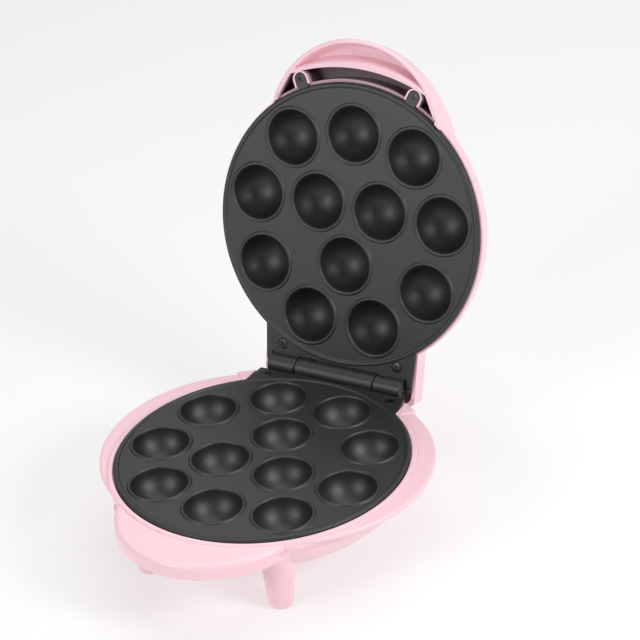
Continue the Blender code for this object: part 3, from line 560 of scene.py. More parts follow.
def painted_trough_shade(made, painted_shade_frame):
    """How much painted shade a point gets down the ear trough, 0 to 1, told from its place in the lid as drawn."""
    inputs = {"Vector": made.place, "Location": painted_shade_frame.to_translation(), "Rotation": painted_shade_frame.to_euler()}
    drawn = made.node("ShaderNodeMapping", {}, inputs)
    x, y, z = (
        made.node("ShaderNodeSeparateXYZ", {}, {"Vector": drawn}, output=way) * (1.0 / MM)
        for way in range(3)
    )
    across = (x * x + y * y) ** 0.5
    side = made.node("ShaderNodeMath", {"operation": "ABSOLUTE"}, {0: x})
    slant = side - y * SHADE_SLOPE
    past = made.sum("GREATER_THAN", across, SHADE_RADII[0])
    within = made.sum("LESS_THAN", across, SHADE_RADII[1])
    within *= made.sum("LESS_THAN", slant, SHADE_SIDE)
    ahead = made.sum("LESS_THAN", y, SHADE_FRONT) * made.sum("GREATER_THAN", z, TROUGH_FLOOR - 0.6)
    return made.ramp(z * -0.05, 0.075, 0.36) * past * within * ahead


def coating_finish(colour):
    """Sprayed non-stick coating on cast metal: a fine even grain, a little paler where it is thick."""
    made = Finish("nonstick_coating", Specular_IOR_Level=0.85)
    cloud = made.noise(34.0, 3.0)
    grain = made.noise(1500.0, 4.0, 0.65)
    flecks = made.ramp(made.cells(900.0), 0.0, 0.09)
    share = cloud * 0.5 + grain * 0.5
    return made.varied(
        Base_Color=made.mixed(share, toned(colour, 0.72), toned(colour, 1.35)),
        Roughness=0.41 + grain * 0.10 + cloud * 0.05,
        Normal=made.bump(grain + flecks * 0.3, 0.00012, 0.8),
    )


def metal_finish(name, dark, pale, roughness, drawn=(1.0, 1.0, 1.0)):
    """Bare, plated or heat-stained metal with drawn lines."""
    made = Finish(name, Metallic=1.0)
    lines = made.noise(900.0, 4.0, 0.7, made.stretched(*drawn))
    patches = made.ramp(made.noise(90.0, 3.0), 0.42, 0.68)
    share = lines * 0.6 + patches * 0.4
    return made.varied(
        Base_Color=made.mixed(share, dark, pale),
        Roughness=roughness + lines * 0.14 + patches * 0.06,
        Normal=made.bump(lines, 0.00003, 0.5),
    )


def dull_finish(name, dark, pale, roughness, grain_scale=1500.0, specked=False):
    """Rubber, ceramic, matt plastic or board: a fine grain, or specks of the first colour."""
    made = Finish(name, Specular_IOR_Level=0.4)
    grain = made.noise(grain_scale, 4.0, 0.65)
    cloud = made.noise(120.0, 2.0)
    pores = made.ramp(made.cells(grain_scale * 0.45), 0.02, 0.16)
    share = pores if specked else grain * 0.6 + cloud * 0.4
    return made.varied(
        Base_Color=made.mixed(share, dark, pale),
        Roughness=roughness + grain * 0.08,
        Normal=made.bump(grain + pores * 0.5, 0.00008, 0.5),
    )


def lens_finish(name, dark, pale):
    """Tinted clear plastic with a faint prism pattern under its skin."""
    made = Finish(name, Roughness=0.12, Coat_Weight=0.6, Coat_Roughness=0.05, IOR=1.49)
    prisms = made.cells(1400.0)
    return made.varied(
        Base_Color=made.mixed(prisms, pale, dark),
        Normal=made.bump(prisms, 0.00004, 0.3),
    )


def lamp_finish():
    """A small glass lamp, clouded paler in patches."""
    made = Finish("lamp_glass", Roughness=0.08, Coat_Weight=0.4, Coat_Roughness=0.04)
    cloud = made.noise(700.0, 2.0)
    tone = made.mixed(cloud, (0.60, 0.36, 0.24), (0.84, 0.78, 0.70))
    return made.varied(Base_Color=tone, Alpha=0.55 + cloud * 0.2)


# Baking plates


def cup_spots():
    outer = [polar(OUTER_RING, turn) for turn in (40, 80, 120, 160, 200, 240, 280, 320)]
    return [polar(FRONT_CUP, 0), *outer, *(polar(INNER_RING, turn) for turn in (60, 180, 300))]


def cup_body(sizes):
    """One cup: a hemisphere with its wall, and the rounded lip that stands on the plate's floor."""
    radius = sizes.cup_radius / MM
    lip = radius + sizes.lip_width / MM
    outside = radius + 2.2
    profile = [(2.0, LIP_TOP - math.sqrt(outside**2 - 4.0))]
    for turn in (80, 70, 60, 50, 40, 30, 20, 13):
        angle = math.radians(turn)
        profile.append((outside * math.cos(angle), LIP_TOP - outside * math.sin(angle)))
    profile += [(lip + 0.50, -2.2), (lip + 0.50, -1.50), (lip + 0.42, -1.31), (lip + 0.20, -1.16)]
    profile += [(lip + 0.04, -0.94), (lip - 0.06, -0.70), (lip - 0.26, -0.48), (lip - 0.56, -0.35)]
    profile += [(lip - 0.95, LIP_TOP), (radius + 1.0, -0.34), (radius + 0.62, -0.50)]
    profile += [(radius + 0.30, -0.80), (radius + 0.10, -1.25)]
    for turn in (5, *range(10, 90, 6), 88):
        angle = math.radians(turn)
        profile.append((radius * math.cos(angle), LIP_TOP - radius * math.sin(angle)))
    return turned("cup", [*profile, (0.0, LIP_TOP - radius)], sides=72)


def plate_blank(name, sizes, tab):
    """The round sheet with its ridge, its hinge tab, twelve cups and the bosses behind it."""
    edge = PLATE_RADIUS
    crest = edge - 0.7
    inner = crest - sizes.rim_width / MM
    profile = [(edge - 0.35, BACK), (edge, BACK + 0.3), (edge, -1.75), (edge - 0.12, -1.50)]
    profile += [(edge - 0.42, -1.36), (crest, -1.05), (crest - 0.10, -0.62), (crest - 0.42, -0.37)]
    profile += [(crest - 0.95, LIP_TOP), (inner + 0.75, -0.34), (inner + 0.38, -0.54)]
    profile += [(inner + 0.16, -0.86), (inner - 0.10, -1.14), (inner - 0.60, FLOOR)]
    plate = added(turned(name, profile, sides=192), tab)
    hole = rod("hole", (0.0, 0.0, -2.0), 8.0, sizes.cup_radius / MM + 1.2, sides=72)
    cut(plate, repeated(hole, cup_spots()))
    added(plate, repeated(cup_body(sizes), cup_spots()))
    boss = turned("boss", [(4.3, -2.6), (4.0, -23.9), (3.7, -24.3)], sides=24)
    added(plate, repeated(boss, [polar(BOSS_RING, turn) for turn in (-140, -60, 60, 140)]))
    return plate


def mirrored(points):
    return [*points, *((-x, y) for x, y in reversed(points))]


def hinge_tab(steps):
    """The flat tab behind the plate, whose steps run under its own knuckles."""
    points = mirrored([(TAB_ROOT + 0.7, 71.0), (TAB_ROOT, 78.0), *steps])
    return eased(outlined("tab", points, BACK + 0.02, FLOOR - 0.02), 0.35, 2)


def knuckle(start, end):
    middle = ((start + end) / 2, HINGE_REACH, 0.0)
    barrel = rod("knuckle", middle, end - start, KNUCKLE_RADIUS, along="X", sides=72)
    return eased(barrel, 0.8, 4, angle=60.0)


def screw_ways(spots):
    """Countersinks that sink right through the sheet."""
    profile = [(4.1, 0.5), (4.1, FLOOR + 0.05), (3.65, FLOOR - 0.25), (3.6, -2.0)]
    profile += [(1.8, -3.7), (1.7, -6.0)]
    return repeated(turned("countersink", profile, sides=40), spots)


def lug(turn):
    """An ear past the rim, with a round end, that takes a screw."""
    x, y = polar(EAR_RING, turn)
    tip = arc((x, y), EAR_HALF, turn - 90, turn + 90, 15)
    root = polar(PLATE_RADIUS - 3.0, turn)
    across = polar(EAR_HALF, turn + 90)
    tail = [(root[0] + across[0], root[1] + across[1]), (root[0] - across[0], root[1] - across[1])]
    return eased(outlined("lug", [*tip, *tail], BACK + 0.15, FLOOR - 0.2), 0.3, 2)


class BALL_MAKER_OT_lower_plate(bpy.types.Operator):
    """Models the base's baking plate with the middle knuckle of the hinge"""

    bl_idname = "ball_maker.lower_plate"
    bl_label = "Lower Plate"

    def execute(self, context):
        clear = HINGE_REACH - KNUCKLE_RADIUS - KNUCKLE_GAP
        steps = [(TAB_END, clear), (KNUCKLE_SPLIT, clear), (KNUCKLE_SPLIT, clear + 4.0)]
        plate = plate_blank("lower_plate_casting", context.scene.ball_maker_plate, hinge_tab(steps))
        added(plate, knuckle(-KNUCKLE_SPLIT, KNUCKLE_SPLIT))
        cut(plate, rod("bore", (0.0, HINGE_REACH, 0.0), 120.0, 2.6, along="X"))
        cut(plate, screw_ways([(-LOWER_SCREW_X, TAB_SCREW_Y), (LOWER_SCREW_X, TAB_SCREW_Y)]))
        finish = coating_finish(context.scene.ball_maker_colours.coating)
        finished(plate, BASE_PLACE, "base", finish, "lower_plate")
        return {"FINISHED"}


class BALL_MAKER_OT_upper_plate(bpy.types.Operator):
    """Models the lid's baking plate with its two ears and the hinge's outer knuckles"""

    bl_idname = "ball_maker.upper_plate"
    bl_label = "Upper Plate"

    def execute(self, context):
        clear = HINGE_REACH - KNUCKLE_RADIUS - KNUCKLE_GAP
        inner, outer = KNUCKLE_SPLIT + KNUCKLE_GAP, KNUCKLE_END - KNUCKLE_GAP
        cheek, side = HINGE_REACH + 1.8, KNUCKLE_END + 0.7
        steps = [(TAB_END, cheek), (side, cheek), (side, clear), (outer, clear)]
        steps += [(outer, clear + 4.0), (inner, clear + 4.0), (inner, clear)]
        plate = plate_blank("upper_plate_casting", context.scene.ball_maker_plate, hinge_tab(steps))
        added(plate, knuckle(-KNUCKLE_END, -inner), knuckle(inner, KNUCKLE_END))
        added(plate, lug(-EAR_TURN), lug(EAR_TURN))
        cut(plate, rod("bore", (0.0, HINGE_REACH, 0.0), 120.0, 2.6, along="X"))
        spots = [(-UPPER_SCREW_X, TAB_SCREW_Y), (UPPER_SCREW_X, TAB_SCREW_Y)]
        cut(plate, screw_ways(spots))
        ears = [polar(EAR_RING, turn) for turn in (-EAR_TURN, EAR_TURN)]
        cut(plate, repeated(rod("ear_hole", (0.0, 0.0, -3.0), 8.0, 1.8, sides=32), ears))
        finish = coating_finish(context.scene.ball_maker_colours.coating)
        finished(plate, LID_PLACE, "lid", finish, "upper_plate")
        return {"FINISHED"}


# Housings


def brim(place):
    """One half of the oval brim: a flat top, a round edge and a hollow underside."""
    edge = BRIM_RADIUS
    profile = [(70.0, -11.4), (edge - 13.0, -10.6), (edge - 9.0, -8.9), (edge - 5.0, -7.4)]
    profile += [(edge - 1.6, -6.62), (edge - 0.7, -6.35), (edge - 0.18, -5.85), (edge, -5.2)]
    profile += [(edge - 0.05, -4.5), (edge - 0.35, -3.9), (edge - 0.9, -3.48), (edge - 1.7, BRIM_TOP)]
    return turned("brim", profile, place, sides=144)


def lower_handle(sizes):
    """A thick round lobe in front, rounded on top and cut square at its two corners."""
    edge, ease = HANDLE_RADIUS, sizes.handle_round / MM
    profile = [(edge - 1.0, HANDLE_UNDER), (edge - 0.3, HANDLE_UNDER + 0.3), (edge, HANDLE_UNDER + 1.0)]
    for turn in range(0, 91, 15):
        angle = math.radians(turn)
        profile.append((edge - ease * (1 - math.cos(angle)), -2.9 - ease * (1 - math.sin(angle))))
    profile.append((edge - ease - 1.0, -2.86))
    lobe = turned("lower_handle", profile, (0.0, HANDLE_CENTRE), sides=144)
    corners = block("corners", (-90.0, HANDLE_CORNER, -6.5), (90.0, 90.0, 20.0))
    return cut(lobe, corners, block("back", (-90.0, -66.0, -30.0), (90.0, 90.0, 20.0)))


def foot():
    """A tapered foot, round at its end and flared where it runs into the bowl."""
    profile = [(6.3, FOOT_END), (7.3, -57.35), (7.95, -56.6), (8.25, -55.4), (9.4, -42.0)]
    profile += [(10.6, -29.0), (11.2, -22.0), (12.2, -17.0), (14.0, -13.4), (16.6, -10.6), (19.0, -8.2)]
    return turned("foot", profile, sides=64)


def rear_sector(shrink, low, high):
    """The rear of the base: a sector round the hinge tab, cut flat under the hinge."""
    radius, wall = REAR_RADIUS - shrink, REAR_WALL - shrink
    half = 38.5 - math.degrees(shrink / radius)
    flat = math.degrees(math.acos(wall / radius))
    points = arc((0.0, 0.0), radius, 180 - half, 180 - flat, 12)
    points += arc((0.0, 0.0), radius, 180 + flat, 180 + half, 12)
    return outlined("rear_sector", [*points, (-33.0, 55.0), (33.0, 55.0)], low, high)


def base_hollows():
    """The room for the plate, its tab and the hinge, and the inside of the bowl."""
    inner, height = BOWL_RADIUS - WALL, BOWL_HEIGHT - WALL
    rounds = swept(inner, height, BOWL_START, range(0, 56, 6))
    well = [(98.05, 4.0), (98.05, RING_TOP - 0.02), (97.7, -2.2), (97.5, -2.6), (97.5, SEAT)]
    well += [(94.5, SEAT), (94.5, -8.0), *rounds[1:]]
    well += [(50.0, BOWL_FLOOR + WALL + 0.3), (46.0, BOWL_FLOOR + WALL)]
    tab = eased(block("tab_seat", (-57.8, 60.0, SEAT), (57.8, 124.0, 4.0)), 0.3, 2)
    groove = rod("groove", (0.0, HINGE_REACH, 0.0), 115.6, 7.6, along="X", sides=72)
    gland = rod("gland_hole", (0.0, REAR_WALL, GLAND_LEVEL), 20.0, 5.5, along="Y")
    room = rear_sector(WALL, -37.5, -16.5)
    return [turned("well", well, sides=192), tab, groove, room, gland]


class BALL_MAKER_OT_lower_shell(bpy.types.Operator):
    """Models the base's housing: bowl, oval brim, handle, rear block and four feet in one moulding"""

    bl_idname = "ball_maker.lower_shell"
    bl_label = "Lower Housing"

    def execute(self, context):
        sizes = context.scene.ball_maker_shell
        bowl = [(98.2, -5.0), (BOWL_RADIUS, -6.0)]
        bowl += swept(BOWL_RADIUS, BOWL_HEIGHT, BOWL_START, range(0, 57, 4))
        bowl += [(52.5, -45.35), (49.0, -45.85), (44.0, BOWL_FLOOR)]
        shell = turned("lower_shell", bowl, sides=192)
        edge = RING_RADIUS
        ring = [(edge - 4.0, -9.0), (edge, -8.4), (edge, -2.9), (edge - 0.15, -2.4)]
        ring += [(edge - 0.5, -2.1), (edge - 1.0, RING_TOP)]
        rear = eased(rear_sector(0.0, -40.0, RING_TOP - 0.4), 1.2, 3)
        feet = repeated(foot(), FOOT_SPOTS)
        added(shell, *(brim(place) for place in BRIM_PLACES), turned("ring", ring, sides=192), rear)
        added(shell, lower_handle(sizes), feet)
        cut(shell, *base_hollows())
        socket = turned("socket", [(5.3, -59.0), (5.3, -56.1), (2.3, -56.1), (2.3, -51.3)], sides=40)
        cut(shell, repeated(socket, FOOT_SPOTS))
        finish = shell_finish(context.scene.ball_maker_colours.shell)
        finished(shell, BASE_PLACE, "base", finish, "lower_housing")
        return {"FINISHED"}


def handle_levels(turns):
    """Rings of the lid's handle: radius, height and middle, drawn back as they near the dome."""
    reach = HANDLE_RADIUS - HANDLE_CENTRE
    rings = []
    for turn in turns:
        angle = math.radians(turn)
        rise = 10.5 + 22.5 * math.sin(angle)
        retreat = 0.2 * rise + 45.0 * (1 - math.cos(angle) ** 0.6)
        radius = HANDLE_RADIUS + retreat * 0.2
        rings.append((radius, -rise, radius - reach + retreat))
    return rings


def hinge_block(shrink, low, ease):
    """The hollow block that covers the hinge, with round rear corners and a round rear edge."""
    width, back = 57.5 - shrink, HINGE_REACH + 13.5 - shrink
    corner = 6.0
    outline = [(width, 62.0), *arc((width - corner, back - corner), corner, 90, 180, 6)]
    outline += [*arc((corner - width, back - corner), corner, 180, 270, 6), (-width, 62.0)]
    body = outlined("hinge_block", outline, -21.5 + shrink, low)
    alone(body)
    bpy.ops.object.mode_set(mode="EDIT")
    bpy.ops.mesh.select_all(action="DESELECT")
    bpy.ops.object.mode_set(mode="OBJECT")
    for face in body.data.polygons:
        face.select = face.normal.z < -0.9
    bpy.ops.object.mode_set(mode="EDIT")
    bpy.ops.mesh.select_mode(type="FACE")
    bpy.ops.mesh.bevel(offset=ease * MM, segments=6, affect="EDGES")
    bpy.ops.mesh.select_mode(type="VERT")
    return closed(body)


def finger_recess():
    """The space for fingertips under the lid's handle, with an upright and a sloping wall."""
    size, middle = HANDLE_RADIUS - LID_HANDLE_WALL, HANDLE_CENTRE
    profile = [(size + 1.1, 2.0, middle), (size + 1.1, -0.62, middle), (size + 0.45, -0.85, middle)]
    profile += [(size + 0.1, -1.4, middle), (size, -2.1, middle), (size - 0.9, -8.6, middle + 0.8)]
    profile += [(size - 1.3, -10.2, middle + 1.0), (size - 2.2, -11.1, middle + 1.1)]
    profile += [(size - 3.6, RECESS_FLOOR, middle + 1.1)]
    recess = turned("recess", profile, sides=144)
    slope = [(114.4, -14.0), (113.8, -11.4), (112.6, -8.0), (111.9, -4.5), (111.3, -2.0)]
    slope += [(110.7, -1.1), (109.9, -0.5), (109.8, 4.0)]
    cut(recess, turned("slope", slope, sides=192))
    mark = rod("ejector_mark", (7.8, -118.3, RECESS_FLOOR), 0.5, 2.3, sides=40)
    return added(recess, mark)


def trough():
    """The crescent beside the plate that the ears reach into."""
    outer = arc((0.0, 19.0), 126.0, -23.6, 23.6, 28)
    inner = arc((0.0, 0.0), TROUGH_INNER, 36.4, -36.4, 36)
    return outlined("trough", [*outer, *inner], TROUGH_FLOOR, 2.0)


def ear_way():
    """Cuts the trough's inner wall down to the plate's back."""
    outer = arc((0.0, 0.0), 100.4, -36.0, 36.0, 30)
    inner = arc((0.0, 0.0), PLATE_RADIUS, 37.0, -37.0, 30)
    return outlined("ear_way", [*outer, *inner], -3.9, 3.0)


def ear_rib(turn):
    """The U-shaped wall round one ear."""
    x, y = polar(EAR_RING, turn)
    root_x, root_y = polar(98.6, turn)
    walls = []
    for half in (5.6, 4.5):
        across_x, across_y = polar(half, turn + 90)
        ends = [(root_x + across_x, root_y + across_y), (root_x - across_x, root_y - across_y)]
        walls.append([*arc((x, y), half, turn - 90, turn + 90, 15), *ends])
    rib = outlined("rib", walls[0], TROUGH_FLOOR - 1.0, -1.0)
    return rib, outlined("rib_way", walls[1], TROUGH_FLOOR, 1.0)


class BALL_MAKER_OT_upper_shell(bpy.types.Operator):
    """Models the lid's housing: dome, hollow handle and hinge block in one moulding"""

    bl_idname = "ball_maker.upper_shell"
    bl_label = "Upper Housing"

    def execute(self, context):
        sizes = context.scene.ball_maker_shell
        dome = [(96.8, SEAT), (97.8, SEAT - 0.1), (98.25, SEAT - 0.45), (DOME_RADIUS, SEAT - 1.2)]
        dome += swept(DOME_RADIUS, DOME_HEIGHT, BOWL_START, range(0, 89, 4))
        dome.append((0.0, -BOWL_START - DOME_HEIGHT))
        shell = turned("upper_shell", dome, sides=192)
        steps = ((1.3, -0.6), (0.5, -0.85), (0.12, -1.4), (0.0, -2.1))
        rim = [(HANDLE_RADIUS - inset, level, HANDLE_CENTRE) for inset, level in steps]
        handle = turned("handle", rim + handle_levels(range(0, 81, 5)), sides=144)
        cut(handle, rod("plate_room", (0.0, 0.0, 2.5), 15.2, 97.8, sides=192))
        added(shell, handle, hinge_block(0.0, SEAT - 0.3, sizes.block_round / MM))
        inner = DOME_RADIUS - WALL
        hollow = [(inner, 2.0), *swept(inner, DOME_HEIGHT - WALL, BOWL_START, range(0, 89, 6))]
        cut(shell, turned("inside", [*hollow, (0.0, -BOWL_START - DOME_HEIGHT + WALL)], sides=144))
        cut(shell, hinge_block(WALL, 2.0, sizes.block_round / MM))
        cut(shell, finger_recess(), trough(), ear_way())
        for turn in (-EAR_TURN, EAR_TURN):
            rib, way = ear_rib(turn)
            added(shell, rib)
            cut(shell, way)
        boss = rod("ear_boss", (0.0, 0.0, (SEAT - 17.0) / 2), 17.0 + SEAT, 3.6)
        added(shell, repeated(boss, [polar(EAR_RING, turn) for turn in (-EAR_TURN, EAR_TURN)]))
        post = rod("tab_post", (0.0, 0.0, (SEAT - 20.5) / 2), 20.5 + SEAT, 4.2)
        added(shell, repeated(post, [(-UPPER_SCREW_X, TAB_SCREW_Y), (UPPER_SCREW_X, TAB_SCREW_Y)]))
        cut(shell, repeated(rod("lens_hole", (0.0, 0.0, -40.0), 20.0, 4.5), LENS_SPOTS))
        finish = shell_finish(context.scene.ball_maker_colours.shell, LID_PLACE.inverted())
        finished(shell, LID_PLACE, "lid", finish, "upper_housing")
        return {"FINISHED"}


# Small pieces


def screw_blank():
    """A countersunk screw with a cross recess and a cut thread."""
    profile = [(0.4, -9.5)]
    for turn in range(12):
        profile += [(1.15, -9.0 + 0.5 * turn), (1.40, -8.75 + 0.5 * turn)]
    profile += [(1.40, -2.6), (3.1, -0.60), (3.3, -0.36), (3.22, -0.14), (2.8, -0.02)]
    profile += [(1.5, 0.06), (0.0, 0.08)]
    screw = turned("screw", profile, sides=48)
    for size in ((2.1, 0.5), (0.5, 2.1)):
        bar = block("bar", (-size[0], -size[1], -1.3), (size[0], size[1], 1.0))
        cut(screw, eased(bar, 0.12, 2))
    return screw


class BALL_MAKER_OT_screws(bpy.types.Operator):
    """Models the six screws that can be seen and puts one at each place"""

    bl_idname = "ball_maker.screws"
    bl_label = "Screws"

    def execute(self, context):
        finish = metal_finish("black_screw", (0.045, 0.045, 0.048), (0.16, 0.16, 0.165), 0.28)
        ear_x, ear_y = polar(EAR_RING, EAR_TURN)
        places = {
            "lower_tab_screw_left": ("base", -LOWER_SCREW_X, TAB_SCREW_Y, FLOOR - 0.2, 20),
            "lower_tab_screw_right": ("base", LOWER_SCREW_X, TAB_SCREW_Y, FLOOR - 0.2, 65),
            "upper_tab_screw_left": ("lid", UPPER_SCREW_X, TAB_SCREW_Y, FLOOR - 0.2, 35),
            "upper_tab_screw_right": ("lid", -UPPER_SCREW_X, TAB_SCREW_Y, FLOOR - 0.2, 10),
            "upper_ear_screw_left": ("lid", ear_x, ear_y, FLOOR - 0.4, 50),
            "upper_ear_screw_right": ("lid", -ear_x, ear_y, FLOOR - 0.4, 28),
        }
        blank = screw_blank()
        for node, (body, x, y, z, turn) in places.items():
            place = BASE_PLACE if body == "base" else LID_PLACE
            spot = Matrix.Translation(Vector((x, y, z)) * MM)
            spot @= Matrix.Rotation(math.radians(turn), 4, "Z")
            finished(copied(blank, node + "_cut"), place @ spot, body, finish, node)
        bpy.data.objects.remove(blank, do_unlink=True)
        return {"FINISHED"}


class BALL_MAKER_OT_hinge_pin(bpy.types.Operator):
    """Models the hinge pin with its domed ends"""

    bl_idname = "ball_maker.hinge_pin"
    bl_label = "Hinge Pin"

    def execute(self, context):
        half = KNUCKLE_END - 0.8
        profile = [(1.2, -half), (1.9, -half + 0.15), (2.3, -half + 0.6)]
        profile += [(2.3, half - 0.6), (1.9, half - 0.15), (1.2, half)]
        pin = turned("hinge_pin_rod", profile, sides=48)
        across = Matrix.Translation(Vector((0.0, HINGE_REACH, 0.0)) * MM)
        across @= Matrix.Rotation(math.pi / 2, 4, "Y")
        drawn = (0.2, 6.0, 6.0)
        finish = metal_finish("plated_pin", (0.42, 0.42, 0.41), (0.68, 0.68, 0.66), 0.24, drawn)
        finished(pin, BASE_PLACE @ across, "base", finish, "hinge_pin")
        return {"FINISHED"}


class BALL_MAKER_OT_foot_pads(bpy.types.Operator):
    """Models the four rubber pads with a ring groove for grip"""

    bl_idname = "ball_maker.foot_pads"
    bl_label = "Foot Pads"

    def execute(self, context):
        finish = dull_finish("foot_rubber", (0.018, 0.018, 0.018), (0.045, 0.045, 0.045), 0.72)
        profile = [(1.4, -58.4), (2.4, -58.4), (2.7, -58.0), (3.1, -58.0), (3.4, -58.4), (4.4, -58.4)]
        profile += [(4.85, -58.22), (5.0, -57.9), (5.0, -56.5), (4.9, -56.4)]
        profile += [(2.0, -56.4), (2.0, -52.3), (1.6, -51.9)]
        blank = turned("pad", profile, sides=48)
        for name, (x, y) in zip(FOOT_NAMES, FOOT_SPOTS):
            place = BASE_PLACE @ Matrix.Translation(Vector((x, y, 0.0)) * MM)
            node = name + "_foot_pad"
            finished(copied(blank, node + "_grooved"), place, "base", finish, node)
        bpy.data.objects.remove(blank, do_unlink=True)
        return {"FINISHED"}


class BALL_MAKER_OT_lenses(bpy.types.Operator):
    """Models the two indicator lenses in the lid"""

    bl_idname = "ball_maker.lenses"
    bl_label = "Indicator Lenses"

    def execute(self, context):
        red = lens_finish("red_lens", (0.30, 0.010, 0.008), (0.62, 0.035, 0.025))
        green = lens_finish("green_lens", (0.008, 0.16, 0.035), (0.03, 0.42, 0.10))
        caps = {"power_lens": (red, "red_lens"), "ready_lens": (green, "green_lens")}
        profile = [(5.6, -33.7), (5.6, -34.8), (4.2, -34.9), (4.2, -40.9)]
        profile += [(4.05, -41.4), (3.6, -41.9), (2.4, -42.2), (0.0, -42.3)]
        blank = turned("lens", profile, sides=48)
        for (node, (finish, slot)), (x, y) in zip(caps.items(), LENS_SPOTS):
            place = LID_PLACE @ Matrix.Translation(Vector((x, y, 0.0)) * MM)
            finished(copied(blank, node + "_cap"), place, "lid", finish, node)
        bpy.data.objects.remove(blank, do_unlink=True)
        return {"FINISHED"}


class BALL_MAKER_OT_gland(bpy.types.Operator):
    """Models the cord gland in the rear wall"""

    bl_idname = "ball_maker.gland"
    bl_label = "Cord Gland"

    def execute(self, context):
        finish = dull_finish("black_plastic", (0.014, 0.014, 0.015), (0.034, 0.034, 0.036), 0.5)
        profile = [(4.7, -5.5), (5.2, -5.1), (5.2, 0.3), (6.6, 0.3), (6.8, 0.5), (6.8, 1.5)]
        profile += [(6.5, 2.1), (5.6, 2.7), (4.0, 2.8)]
        gland = turned("cord_gland_bush", profile, sides=64)
        cut(gland, turned("lead_hole", [(3.9, 3.0), (3.5, 2.4), (3.1, 1.8), (3.1, -6.0)], sides=40))
        spot = Matrix.Translation(Vector((0.0, REAR_WALL, GLAND_LEVEL)) * MM)
        spot @= Matrix.Rotation(-math.pi / 2, 4, "X")
        finished(gland, BASE_PLACE @ spot, "base", finish, "cord_gland")
        return {"FINISHED"}


# Hidden metals: two colours, roughness and how far the lines are drawn out
METALS = {
    "heater_sheath": ((0.20, 0.15, 0.11), (0.34, 0.27, 0.22), 0.42),
    "heater_pan": ((0.55, 0.55, 0.54), (0.72, 0.72, 0.70), 0.28, (6.0, 0.3, 1.0)),
    "plated_steel": ((0.46, 0.46, 0.44), (0.68, 0.68, 0.65), 0.30),
}
# Hidden matt materials: two colours, roughness, scale of the grain and whether it is specked
MATT = {
    "ceramic": ((0.66, 0.63, 0.56), (0.84, 0.82, 0.76), 0.55),
    "lamp_board": ((0.55, 0.40, 0.24), (0.46, 0.32, 0.16), 0.5, 900.0, True),
}


class BALL_MAKER_OT_inner_parts(bpy.types.Operator):
    """Gives the heaters, pans, clamps, thermostats and lamps inside the housings their finishes"""

    bl_idname = "ball_maker.inner_parts"
    bl_label = "Inner Parts"

    def execute(self, context):
        finishes = {name: metal_finish(name, *look) for name, look in METALS.items()}
        finishes |= {name: dull_finish(name, *look) for name, look in MATT.items()}
        finishes["lamp_glass"] = lamp_finish()
        for entry in frame["record"]["subparts"]:
            finish = finishes.get(entry["material_slot"])
            if finish:
                node = frame["nodes"][entry["node"]]
                node.data.materials.clear()
                node.data.materials.append(finish)
        return {"FINISHED"}


# Studio

# What the lights and the camera face, in metres from the lower plate's centre
LIGHT_AIM = Vector((0.0, 0.03, 0.08))
CAMERA_AIM = Vector((-0.04637, 0.16718, 0.0))
# Each softbox's direction from the object, distance and width in metres, and share of the key power
SOFTBOXES = {
    "right_softbox": ((0.86, -0.08, 0.50), 1.3, 0.44, 1.05),
    "left_softbox": ((-0.33, -0.83, 0.43), 1.3, 0.42, 0.72),
    "top_softbox": ((-0.05, 0.42, 1.0), 1.7, 2.0, 2.4),
}


def softbox(name, direction, distance, size, power):
    """A square light that faces the object."""
    middle = PLATE_CENTRE + LIGHT_AIM
    light = bpy.data.lights.new(name, "AREA")
    light.size = size
    light.energy = power
    lamp = bpy.data.objects.new(name, light)
    bpy.context.scene.collection.objects.link(lamp)
    away = Vector(direction).normalized()
    lamp.location = middle + away * distance
    lamp.rotation_euler = away.to_track_quat("Z", "Y").to_euler()


def camera_matrix(studio):
    turn, rise = studio.azimuth, studio.elevation
    back = Vector((math.sin(turn) * math.cos(rise), -math.cos(turn) * math.cos(rise), math.sin(rise)))
    right = Vector((math.cos(turn), math.sin(turn), 0.0))
    up = back.cross(right)
    across = right * math.cos(studio.roll) + up * math.sin(studio.roll)
    rising = up * math.cos(studio.roll) - right * math.sin(studio.roll)
    spot = PLATE_CENTRE + CAMERA_AIM + back * studio.distance
    return Matrix.Translation(spot) @ Matrix((across, rising, back)).transposed().to_4x4()


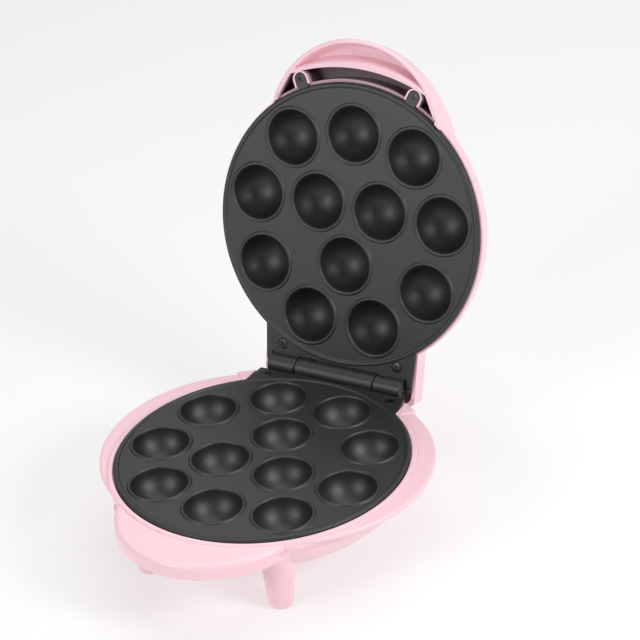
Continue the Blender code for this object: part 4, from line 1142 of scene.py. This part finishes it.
class BALL_MAKER_OT_stage(bpy.types.Operator):
    """Sets a pale floor, three softboxes, a white surround and the camera"""

    bl_idname = "ball_maker.stage"
    bl_label = "Studio"

    def execute(self, context):
        scene, studio = context.scene, context.scene.ball_maker_studio
        level = (0.0, 0.0, CAD_BOX[0][2])
        floor = started("floor", bpy.ops.mesh.primitive_plane_add, size=16.0, location=level)
        settled(floor)
        paper = Finish("paper", Roughness=0.9, Specular_IOR_Level=0.1, Emission_Strength=1.0)
        tone = scene.ball_maker_colours.floor
        fibre = paper.noise(300.0, 4.0)
        white = paper.mixed(fibre, toned(tone, 0.985), tone)
        weave = paper.bump(fibre, 0.00005, 0.2)
        floor.data.materials.append(paper.varied(Base_Color=white, Emission_Color=white, Normal=weave))
        for name, (direction, distance, size, share) in SOFTBOXES.items():
            softbox(name, direction, distance, size, studio.key * share)
        world = bpy.data.worlds.new("surround")
        world.use_nodes = True
        surround = world.node_tree.nodes["Background"]
        surround.inputs["Color"].default_value = (1.0, 1.0, 1.0, 1.0)
        surround.inputs["Strength"].default_value = studio.fill
        scene.world = world
        camera = bpy.data.objects.new("camera", bpy.data.cameras.new("camera"))
        scene.collection.objects.link(camera)
        camera.data.lens = studio.lens
        camera.matrix_world = camera_matrix(studio)
        scene.camera = camera
        scene.view_settings.view_transform = "Standard"
        return {"FINISHED"}


class BALL_MAKER_PT_panel(bpy.types.Panel):
    """Lists the sizes, colours and pieces"""

    bl_idname = "BALL_MAKER_PT_panel"
    bl_label = "Ball Cake Maker"
    bl_space_type = "VIEW_3D"
    bl_region_type = "UI"
    bl_category = "Ball Maker"

    def draw(self, context):
        layout = self.layout
        for group, names in GROUPS.items():
            for name in names:
                layout.prop(getattr(context.scene, group), name)
        for step in STEPS:
            layout.operator(step.bl_idname)


STEPS = (
    BALL_MAKER_OT_lower_plate,
    BALL_MAKER_OT_upper_plate,
    BALL_MAKER_OT_lower_shell,
    BALL_MAKER_OT_upper_shell,
    BALL_MAKER_OT_screws,
    BALL_MAKER_OT_hinge_pin,
    BALL_MAKER_OT_foot_pads,
    BALL_MAKER_OT_lenses,
    BALL_MAKER_OT_gland,
    BALL_MAKER_OT_inner_parts,
    BALL_MAKER_OT_stage,
)
SETTINGS = {
    "ball_maker_plate": PlateSizes,
    "ball_maker_shell": ShellSizes,
    "ball_maker_colours": Colours,
    "ball_maker_studio": Studio,
}
GROUPS = {name: list(group.__annotations__) for name, group in SETTINGS.items()}


def register():
    for group in (*SETTINGS.values(), *STEPS, BALL_MAKER_PT_panel):
        bpy.utils.register_class(group)
    for name, group in SETTINGS.items():
        setattr(bpy.types.Scene, name, PointerProperty(type=group))


def unregister():
    for name in SETTINGS:
        delattr(bpy.types.Scene, name)
    for group in reversed((*SETTINGS.values(), *STEPS, BALL_MAKER_PT_panel)):
        bpy.utils.unregister_class(group)


def main():
    register()
    for step in STEPS:
        family, name = step.bl_idname.split(".")
        getattr(getattr(bpy.ops, family), name)()


if __name__ == "__main__":
    main()
